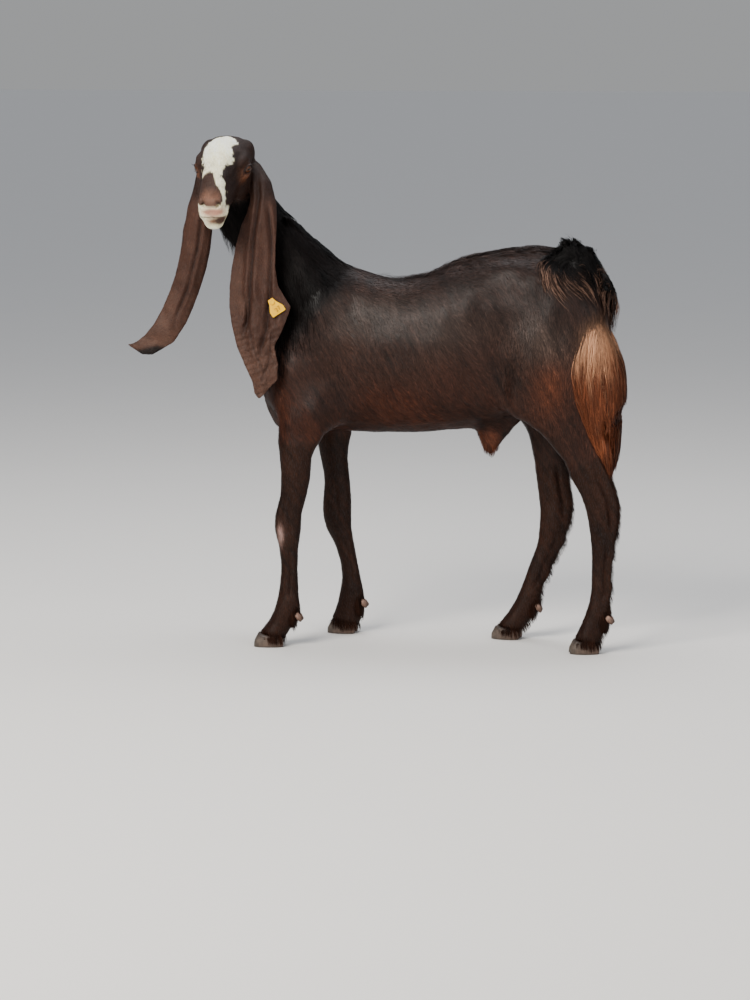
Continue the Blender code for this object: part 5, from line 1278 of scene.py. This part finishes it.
def breechTint(q, normals, lock, steps):
    # tan at the top, rust below and darker at the back and the tip, by where each stretch of a strand hangs
    _, across = leafFlow(q)
    across = across[:, None]
    noise = waves(q, 0.03, 62)[:, None]
    z = q[:, 2:3] - 0.085 * steps[None]
    base = np.tile(np.array(colours["fringeRust"]), (*z.shape, 1))

    def lay(name, mask):
        nonlocal base
        base = laid(base, colours[name], np.clip(np.broadcast_to(mask, z.shape), 0, 1)[:, :, None])

    lay("fringeTan", ramp(z + 0.025 * noise, 0.570, 0.680) * (1 - 0.6 * ramp(across, 0.1, 0.9)))
    lay("fringeDark", 0.75 * ramp(across + 0.3 * noise, 0.35, 0.95) * ramp(-z, -0.66, -0.60))
    lay("fringeDark", 0.55 * ramp(-z + 0.02 * noise, -0.45, -0.38))
    lay("fringeDark", 0.5 * ramp(normals[:, :1], 0.45, 0.9))
    shown = base * toned(np.ones((len(q), 1)), lock, steps, 0.34)
    pale = chance.uniform(0, 1, len(q)) < 0.03
    return np.where(pale[:, None, None], shown * 0.6 + np.array(colours["fringeTan"]) * 0.20, shown)


# streak: tan strands in the tail's lower locks, partly the hair's own tan and partly a painted highlight
tailColours = {"low": (0.026, 0.0135, 0.0095), "streak": (0.075, 0.042, 0.029), "streaks": 0.40}


def tailTint(q, normals, lock, steps):
    away = q - tailMiddle
    low = ramp(-away[:, 2] - 0.4 * away[:, 0], 0.004, 0.030)[:, None]
    base = laid(np.array(colours["black"]) * 1.3, tailColours["low"], low)
    often = tailColours["streaks"] * ramp(-away[:, 2] + 0.5 * np.abs(away[:, 0]), 0.002, 0.026)
    tanHighlitStrands = chance.uniform(0, 1, len(q)) < often
    base = np.where(tanHighlitStrands[:, None], np.array(tailColours["streak"]), base)
    shown = toned(base, lock, steps, 0.30)
    # painted highlight, brightening those strands toward their tips
    paintedTipHighlight = (tanHighlitStrands[:, None] * ramp(steps, 0.2, 0.8)[None])[:, :, None]
    return shown * (1 + 0.8 * paintedTipHighlight)


def tailScale(q):
    # short spikes at the top, long locks in front and below
    away = q - tailMiddle
    sweep = 1 + 0.50 * ramp(-away[:, 2] - 0.7 * away[:, 0], 0.000, 0.020)
    return sweep * (1 - 0.62 * ramp(away[:, 2], -0.004, 0.022)) * (1 - 0.30 * ramp(away[:, 0], 0.020, 0.050))


def plainTint(name, strength, spread=0.28):
    colour = np.array(colours[name]) * strength
    return lambda q, normals, lock, steps: toned(np.tile(colour, (len(q), 1)), lock, steps, spread)


def hairMasks():
    q = skinPoints - shift
    x, y, z = q.T
    part = dict(zip(regions, skinRegions.T))
    n = skinNormals
    _, across = leafFlow(q)
    leaf = (across > -0.90) * (across < 1.12) * ramp(z, 0.415, 0.44) * ramp(-z, -0.705, -0.690)
    outward = np.maximum(np.maximum(np.sign(y) * n[:, 1], n[:, 0]), -n[:, 2] * (z < 0.52))
    leaf = leaf * (part["thigh"] + part["torso"]) * ramp(np.abs(y), 0.020, 0.034) * ramp(outward, 0.10, 0.35)
    ridge = np.exp(-(y / 0.020)**2) * ramp(n[:, 2], 0.5, 0.8) * part["torso"]
    crest = ridge * ramp(x, -0.02, 0.10) * (0.35 + 0.65 * ramp(x, 0.12, 0.20)) * ramp(-x, -0.400, -0.380)
    neck = part["neck"] + part["torso"] * ramp(-x, 0.09, 0.16) * ramp(z - 1.15 * x, 0.80, 0.86)
    foot = part["leg"] + part["foot"]
    rear = foot * ramp(n[:, 0], 0.35, 0.75) * ramp(x, 0.20, 0.30) * ramp(-z, -0.42, -0.36)
    sheath = part["sheath"] * ramp(-z, -0.436, -0.420)
    mine = np.flatnonzero((z < 0.16) & (foot > 0.3))
    over = np.zeros(len(q))
    hoofAway = np.array([clawTree.find_nearest(Vector(p))[3] for p in skinPoints[mine]])
    dewclawAway = np.array([dewclawTree.find_nearest(Vector(p))[3] for p in skinPoints[mine]])
    over[mine] = np.maximum(ramp(-hoofAway, -0.015, -0.008), ramp(-dewclawAway, -0.016, -0.008))
    return {"breech": leaf, "tail": part["tail"], "crest": crest, "neck": neck, "feathers": rear,
            "sheath": sheath, "fetlocks": over * foot * ramp(n[:, 2], -0.55, -0.30)}


print("long hair")
masks = hairMasks()
leftSide = (skinPoints - shift)[:, 1] < 0


def shorterLow(q):
    return np.clip((q[:, 2] - 0.366) / 0.110, 0.35, 1.0)


nearFringe, farFringe = masks["breech"] * leftSide, masks["breech"] * ~leftSide
legTint = plainTint("leg", 0.85)
longPieces = [
    (longHair("hair_breech_left", "breech", nearFringe, breechHeading, breechTint, -1, shorterLow), "breech"),
    (longHair("hair_breech_right", "breech", farFringe, breechHeading, breechTint, 1, shorterLow), "breech"),
    (longHair("hair_tail", "tail", masks["tail"], tailHeading, tailTint, 1, tailScale), "tail"),
    (longHair("hair_crest", "crest", masks["crest"], crestHeading, plainTint("back", 0.85, 0.35)), "coat"),
    (longHair("hair_neck", "neck", masks["neck"], neckHeading, plainTint("neck", 1.25, 0.35)), "neck_coat"),
    (longHair("hair_hocks", "feathers", masks["feathers"], hanging(0.45), legTint), "leg"),
    (longHair("hair_fetlocks", "fetlocks", masks["fetlocks"], hanging(0.12), legTint), "leg"),
    (longHair("hair_sheath", "sheath", masks["sheath"], sheathHeading, plainTint("sheath", 1.0)), "sheath"),
]


# Lashes
lashPlan = {"upper": 70, "lower": 26, "upperLength": 0.0060, "lowerLength": 0.0032, "steps": 4,
            "rootWidth": 0.00030, "tipWidth": 0.00012, "lift": 0.0016}


def lashes(side):
    plan = lashPlan
    long, tall = headPose["lidOpening"]
    steps = plan["steps"]
    turns = np.concatenate([chance.uniform(0.10, 0.90, plan["upper"]),
                            chance.uniform(1.2, 1.8, plan["lower"])]) * math.pi
    count = len(turns)
    upper = np.sin(turns) > 0
    f = long * 0.99 * np.cos(turns)
    u = tall * 1.02 * lidShape(turns)
    out = shellOut(headPose["eyeRadius"] + plan["lift"], f, u, lidPlan["flatter"])
    middle, axes = eyeFrame(side)
    roots = np.stack([f, out, u], 1)
    length = np.where(upper, plan["upperLength"], plan["lowerLength"]) * chance.uniform(0.7, 1.2, count)
    lean = np.stack([np.cos(turns) * 0.5, np.ones(count), np.where(upper, 0.10, -0.55)], 1)
    bend = np.stack([0 * f, 0 * f, np.where(upper, 0.55, -0.10)], 1)
    paths = [roots + (unit(lean) * s + bend * s * s) * length[:, None] for s in np.linspace(0, 1, steps + 1)]
    paths = onHead(middle + np.stack(paths, 1).reshape(-1, 3) @ axes).reshape(count, steps + 1, 3)
    roots = onHead(middle + roots @ axes)
    face = np.broadcast_to(headTurn[2], (count, 3))
    colour = np.tile(np.array(colours["darkRimAndNostrilShade"]) * 0.6, (count, 1))
    widths = np.tile(np.linspace(plan["rootWidth"], plan["tipWidth"], steps), (count, 1))
    name = "lashes_left" if side > 0 else "lashes_right"
    piece = ribbonMesh(name, paths, np.repeat(face[:, None], steps + 1, 1), widths, colour, roots,
                       np.broadcast_to(headTurn[1] * side, (count, 3)), 0.4)
    piece.data.materials.append(longMaterial)
    return piece


lashPieces = [lashes(side) for side in (-1, 1)]


# Eyes
eyePlan = {
    "radius": 0.0139, "iris": 0.0086, "cornea": 0.0013, "pupil": (0.0056, 0.0019),
    "amber": (0.1300, 0.0420, 0.0120), "brown": (0.0360, 0.0110, 0.0050), "white": (0.0600, 0.0300, 0.0225),
    "black": (0.0015, 0.0015, 0.0015),
}


def eyeballPiece(name, side):
    # rings round the eye's own axis, closer together over the iris and the edge of the pupil
    plan = eyePlan
    around = 96
    angles = np.concatenate([np.linspace(0, 0.72, 40), np.linspace(0.75, math.pi, 24)])
    turns = np.arange(around) * 2 * math.pi / around
    a, t = np.meshgrid(angles[1:-1], turns, indexing="ij")
    out, flat = np.cos(a), np.sin(a)
    bulge = plan["cornea"] * (1 - ramp(a, 0.30, 0.72))
    radius = plan["radius"] + bulge
    local = np.stack([radius * flat * np.cos(t), radius * out, radius * flat * np.sin(t)], 2).reshape(-1, 3)
    local = np.concatenate([local, [(0, plan["radius"] + plan["cornea"], 0), (0, -plan["radius"], 0)]])
    rows = len(angles) - 2
    triangles = []
    for k in range(rows - 1):
        for i in range(around):
            b, c = k * around + i, k * around + (i + 1) % around
            triangles += [(b, c, c + around), (b, c + around, b + around)]
    front, back = rows * around, rows * around + 1
    for i in range(around):
        j = (i + 1) % around
        triangles += [(front, j, i), (back, (rows - 1) * around + i, (rows - 1) * around + j)]
    triangles = np.array(triangles)
    if side < 0:
        triangles = triangles[:, ::-1]
    # markings: a level slot for a pupil, streaks from it to the dark rim of the iris
    x, z = local[:, 0], local[:, 2]
    r = np.hypot(x, z)
    angle = np.arctan2(z, x)
    wide, tall = plan["pupil"]
    slot = (np.abs(x) / wide)**4 + (np.abs(z) / tall)**2.4
    streak = 0.5 + 0.5 * waves(np.stack([np.cos(angle), np.sin(angle), 0.05 * r / plan["iris"]], 1), 0.16, 71)
    share = np.clip(0.30 + 0.45 * streak - 0.25 * (r / plan["iris"])**3, 0, 1)[:, None]
    colour = laid(np.array(plan["brown"]), plan["amber"], share)
    colour = laid(colour, plan["white"], ramp(r, plan["iris"] * 0.94, plan["iris"] * 1.04)[:, None])
    limbus = np.exp(-((r - plan["iris"]) / 0.0007)**2)[:, None]
    colour = colour * (1 - 0.85 * limbus)
    dark = (1 - ramp(slot, 0.75, 1.35))[:, None] * (local[:, 1] > 0)[:, None]
    colour = laid(colour, plan["black"], dark)
    middle, axes = eyeFrame(side)
    piece = newObject(name, meshOfTriangles(name, onHead(middle + local @ axes), triangles))
    paint(piece.data, colour)
    return piece


def eyeFinish():
    finish = Finish("goat_eye", Specular_IOR_Level=0.2, Coat_Roughness=0.02, Coat_IOR=1.33)
    veins = finish.noise(240, 2, where=finish.ownPlace())
    finish.feed(Base_Color=finish.attribute("markings"), Roughness=0.10 + 0.08 * veins,
                Coat_Weight=0.40 + 0.1 * veins)
    return finish.material


eyeMaterial = eyeFinish()
for side, word in ((1, "left"), (-1, "right")):
    piece = eyeballPiece("eyeball_" + word, side)
    piece.data.materials.append(eyeMaterial)
    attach(piece, "root")
    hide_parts("eye_" + word)
print("eyes")


# Hooves and dewclaws
hoofPlan = {
    "voxel": 0.0013, "rounds": 8, "ring": 0.0034, "ringDepth": 0.00022, "floor": 0.0001,
    "toe": (0.0850, 0.0680, 0.0530), "heel": (0.1500, 0.0860, 0.0610), "top": (0.0300, 0.0190, 0.0150),
    "sole": (0.0700, 0.0560, 0.0450),
    "clawVoxel": 0.0007, "clawRounds": 6,
    "clawPale": (0.3600, 0.2150, 0.1600), "clawTip": (0.0900, 0.0480, 0.0330),
}


def hornFinish(name, roughness):
    finish = Finish(name, Specular_IOR_Level=0.4)
    own = finish.ownPlace()
    streaks = finish.noise(420, 3, where=finish.ownPlace((1, 1, 0.08)))
    grime = finish.noise(60, 4, where=own)
    stops = [(0.3, (0.45, 0.42, 0.38)), (0.7, (1, 1, 1))]
    tone = finish.node("ShaderNodeValToRGB", {"stops": stops}, {0: 0.5 * streaks + 0.5 * grime})
    finish.feed(Base_Color=finish.mixed(0.85, finish.attribute("markings"), tone, "MULTIPLY"),
                Roughness=roughness + 0.25 * grime,
                Normal=finish.bump(streaks + 0.4 * finish.noise(900, 2, where=own), 0.0003))
    return finish.material


def smoothed(points, edges, rounds, keep=None):
    count = neighbourCount(edges, points)
    for _ in range(rounds):
        step = (neighbourMeans(points, edges, count) - points) * 0.5
        points = points + (step if keep is None else step * keep[:, None])
    return points


def hoof(node):
    name = node.replace("claw", "hoof")
    piece = remeshed(name, [nodes[node].data], hoofPlan["voxel"])
    mesh = piece.data
    points = placesOf(mesh)
    loose = 1 - 0.9 * ramp(-points[:, 2], -0.003, -0.001)      # the sole keeps its edge
    points = smoothed(points, edgesOf(mesh), hoofPlan["rounds"], loose)
    low, high = points.min(0), points.max(0)
    x, z = points[:, 0], points[:, 2]
    toward = (x - low[0]) / (high[0] - low[0])      # 0 at the toe, 1 at the heel
    normals = normalsOf(mesh)
    wall = ramp(1 - np.abs(normals[:, 2]), 0.25, 0.6) * ramp(z, 0.002, 0.006)
    level = z + 0.10 * (x - low[0]) + 0.0006 * waves(points, 0.02, 81)
    rings = np.sin(level * 2 * math.pi / hoofPlan["ring"])
    points = points + normals * (wall * hoofPlan["ringDepth"] * rings)[:, None]
    points[:, 2] = np.maximum(points[:, 2], hoofPlan["floor"])
    movePoints(mesh, points)
    colour = laid(np.array(hoofPlan["toe"]), hoofPlan["heel"], toward[:, None])
    colour = laid(colour, hoofPlan["top"], ramp(z, 0.5 * high[2], high[2])[:, None] * 0.85)
    colour = laid(colour, hoofPlan["sole"], ramp(-z, -0.006, -0.001)[:, None] * 0.7)
    colour = colour * (1 + 0.18 * rings * wall + 0.15 * waves(points, 0.012, 82))[:, None]
    paint(mesh, np.clip(colour, 0.002, 1))
    return piece


def dewclaw(node):
    name = node.replace("dewclaw", "dewclaw_horn")
    piece = remeshed(name, [nodes[node].data], hoofPlan["clawVoxel"])
    mesh = piece.data
    points = smoothed(placesOf(mesh), edgesOf(mesh), hoofPlan["clawRounds"])
    movePoints(mesh, points)
    low, high = points.min(0), points.max(0)
    t = (ramp(-points[:, 2], -high[2], -low[2]) * 0.6 + ramp(points[:, 0], low[0], high[0]) * 0.5)[:, None]
    colour = laid(np.array(hoofPlan["clawPale"]), hoofPlan["clawTip"], t)
    paint(mesh, np.clip(colour * (1 + 0.15 * waves(points, 0.006, 83))[:, None], 0.002, 1))
    return piece


hoofMaterial = hornFinish("goat_hoof", 0.42)
dewclawMaterial = hornFinish("goat_dewclaw", 0.50)
for node in [n for n in nodes if n.startswith("claw_") or n.startswith("dewclaw_")]:
    isHoof = node.startswith("claw_")
    piece = hoof(node) if isHoof else dewclaw(node)
    piece.data.polygons.foreach_set("use_smooth", np.ones(len(piece.data.polygons), bool))
    piece.data.materials.clear()
    piece.data.materials.append(hoofMaterial if isHoof else dewclawMaterial)
    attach(piece, "root")
    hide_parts(node)
print("hooves")


# Ear tag
tagPlan = {
    "yellow": (0.9000, 0.5000, 0.0001, 1), "worn": (0.6800, 0.3000, 0.0010, 1),
    "ink": (0.1500, 0.0600, 0.0020, 1),
    "bevel": 0.0004, "corner": 0.0032,
    "number": "27", "numberHeight": 0.0125, "numberDepth": 0.00012, "numberDrop": 0.004,
}


def plasticFinish(name, first, second):
    finish = Finish(name, Specular_IOR_Level=0.22)
    own = finish.ownPlace()
    scuffs = finish.noise(380, 4, where=own)
    blots = finish.noise(70, 3, where=own)
    worn = {"Value": 0.5 * scuffs + 0.5 * blots, "From Min": 0.42, "From Max": 0.68}
    share = finish.node("ShaderNodeMapRange", None, worn)
    finish.feed(Base_Color=finish.mixed(0.6 * share, first, second), Roughness=0.34 + 0.25 * share,
                Normal=finish.bump(scuffs, 0.0002))
    return finish.material


def tagPiece(node):
    bm = bmesh.new()
    bm.from_mesh(nodes[node].data)
    bmesh.ops.remove_doubles(bm, verts=bm.verts[:], dist=1e-6)
    bmesh.ops.dissolve_limit(bm, angle_limit=math.radians(4), verts=bm.verts[:], edges=bm.edges[:])
    if node != "ear_tag_button":
        out = max(bm.faces, key=lambda face: face.calc_area()).normal.copy()
        corners = [e for e in bm.edges if abs((e.verts[0].co - e.verts[1].co).normalized() @ out) > 0.9
                   and e.calc_face_angle(0) > math.radians(20)]
        bmesh.ops.bevel(bm, geom=corners, offset=tagPlan["corner"], segments=5, profile=0.5, affect="EDGES",
                        clamp_overlap=True)
    sharp = [e for e in bm.edges if len(e.link_faces) == 2 and e.calc_face_angle() > math.radians(35)]
    bmesh.ops.bevel(bm, geom=sharp, offset=tagPlan["bevel"], segments=3, profile=0.6, affect="EDGES",
                    clamp_overlap=True)
    bmesh.ops.triangulate(bm, faces=bm.faces[:])
    for face in bm.faces:
        face.smooth = True
    mesh = bpy.data.meshes.new("plastic_" + node)
    bm.to_mesh(mesh)
    bm.free()
    mesh.set_sharp_from_angle(angle=math.radians(40))
    return newObject("plastic_" + node, mesh)


tagMaterial = plasticFinish("tag_plastic", tagPlan["yellow"], tagPlan["worn"])
inkMaterial = plasticFinish("tag_ink", tagPlan["ink"], tagPlan["worn"])
for node in ("ear_tag_panel", "ear_tag_button", "ear_tag_back"):
    piece = tagPiece(node)
    piece.data.materials.append(tagMaterial)
    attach(piece, "root")
    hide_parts(node)


def tagNumber():
    # a plain number pressed into the panel's face, upright on the hanging tag
    points = placesOf(nodes["ear_tag_panel"].data)
    middle = (points.min(0) + points.max(0)) / 2
    _, _, axes = np.linalg.svd(points - points.mean(0), full_matrices=False)
    out = axes[2] * (-1 if axes[2][1] > 0 else 1)
    stud = middleOf("ear_tag_button")
    down = unit(middle - stud - out * ((middle - stud) @ out))
    right = np.cross(-down, out)
    text = bpy.data.curves.new("number", "FONT")
    text.body = tagPlan["number"]
    text.size = tagPlan["numberHeight"]
    text.extrude = tagPlan["numberDepth"]
    text.align_x, text.align_y = "CENTER", "CENTER"
    holder = newObject("number", text)
    bpy.context.view_layer.update()
    mesh = bpy.data.meshes.new_from_object(holder.evaluated_get(bpy.context.evaluated_depsgraph_get()))
    bpy.data.objects.remove(holder, do_unlink=True)
    face = (points @ out).max() + tagPlan["numberDepth"]
    centre = middle + down * tagPlan["numberDrop"]
    centre = centre + out * (face - centre @ out)
    mesh.transform(Matrix(np.column_stack([right, -down, out]).tolist()).to_4x4())
    mesh.transform(Matrix.Translation(Vector(centre)))
    piece = newObject("plastic_tag_number", mesh)
    mesh.materials.clear()
    mesh.materials.append(inkMaterial)
    return piece


number = tagNumber()
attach(number, "root")
print("tag")


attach(skin, "root")
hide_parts(*fleshNodes)
dressed = [(piece, "coat") for piece in coats] + longPieces + [(piece, "face") for piece in lashPieces]
for piece, slot in dressed:
    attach(piece, "root")


# Stage, light and camera
def areaLight(name, place, aim, size, watts, colour):
    lamp = bpy.data.lights.new(name, "AREA")
    lamp.shape = "RECTANGLE"
    lamp.size, lamp.size_y = size
    lamp.energy = watts
    lamp.color = colour
    holder = newObject(name, lamp)
    holder.location = place
    holder.rotation_euler = (Vector(aim) - Vector(place)).to_track_quat("-Z", "Y").to_euler()


stagePlan = {
    "floor": (0.74, 0.72, 0.69, 1), "specks": (0.50, 0.48, 0.45, 1),
    "level": (0.66, 0.67, 0.68), "sky": (0.86, 0.91, 1.0), "strength": 0.54,
}


def stage():
    mesh = bpy.data.meshes.new("floor")
    bm = bmesh.new()
    bmesh.ops.create_grid(bm, x_segments=1, y_segments=1, size=60)
    bm.to_mesh(mesh)
    bm.free()
    floor = newObject("floor", mesh)
    finish = Finish("studio_floor", Roughness=0.85)
    speck = finish.noise(3.0, 2, where=finish.ownPlace())
    finish.feed(Base_Color=finish.mixed(0.06 * speck, stagePlan["floor"], stagePlan["specks"]))
    mesh.materials.append(finish.material)
    studio = Finish("studio", "worlds", "Background", Strength=stagePlan["strength"])
    bpy.context.scene.world = studio.material
    place = studio.node("ShaderNodeTexCoord", output="Generated")
    height = studio.node("ShaderNodeSeparateXYZ", None, {0: place}, "Z")
    stops = [(0.0, stagePlan["level"]), (0.45, stagePlan["sky"])]
    studio.feed(Color=studio.node("ShaderNodeValToRGB", {"stops": stops}, {0: height}))
    areaLight("key", (-1.8, -3.6, 3.4), (0.0, 0.0, 0.6), (2.2, 2.2), 330, (1.0, 0.95, 0.88))
    areaLight("fill", (3.4, -3.0, 1.8), (0.0, 0.0, 0.6), (2.6, 2.6), 58, (1.0, 0.97, 0.94))
    areaLight("top", (0.3, 0.8, 3.6), (0.0, 0.0, 0.7), (3.0, 2.0), 85, (0.97, 0.98, 1.0))


cameraPlan = {
    "place": (0.9673, -6.8824, 1.30), "azimuth": 8.0, "pitch": 8.1739,
    "focal": 3300.0, "tall": 1000,        # focal length and height of the picture, in pixels
}


def camera():
    lens = bpy.data.cameras.new("camera")
    lens.sensor_width = 36.0
    lens.lens = 36.0 * cameraPlan["focal"] / cameraPlan["tall"]
    holder = newObject("camera", lens)
    holder.location = Vector(cameraPlan["place"]) + Vector(shift)
    turn, dip = math.radians(cameraPlan["azimuth"]), math.radians(cameraPlan["pitch"])
    look = Vector((-math.sin(turn) * math.cos(dip), math.cos(turn) * math.cos(dip), -math.sin(dip)))
    holder.rotation_euler = look.to_track_quat("-Z", "Y").to_euler()
    bpy.context.scene.camera = holder


stage()
camera()
print("stage")
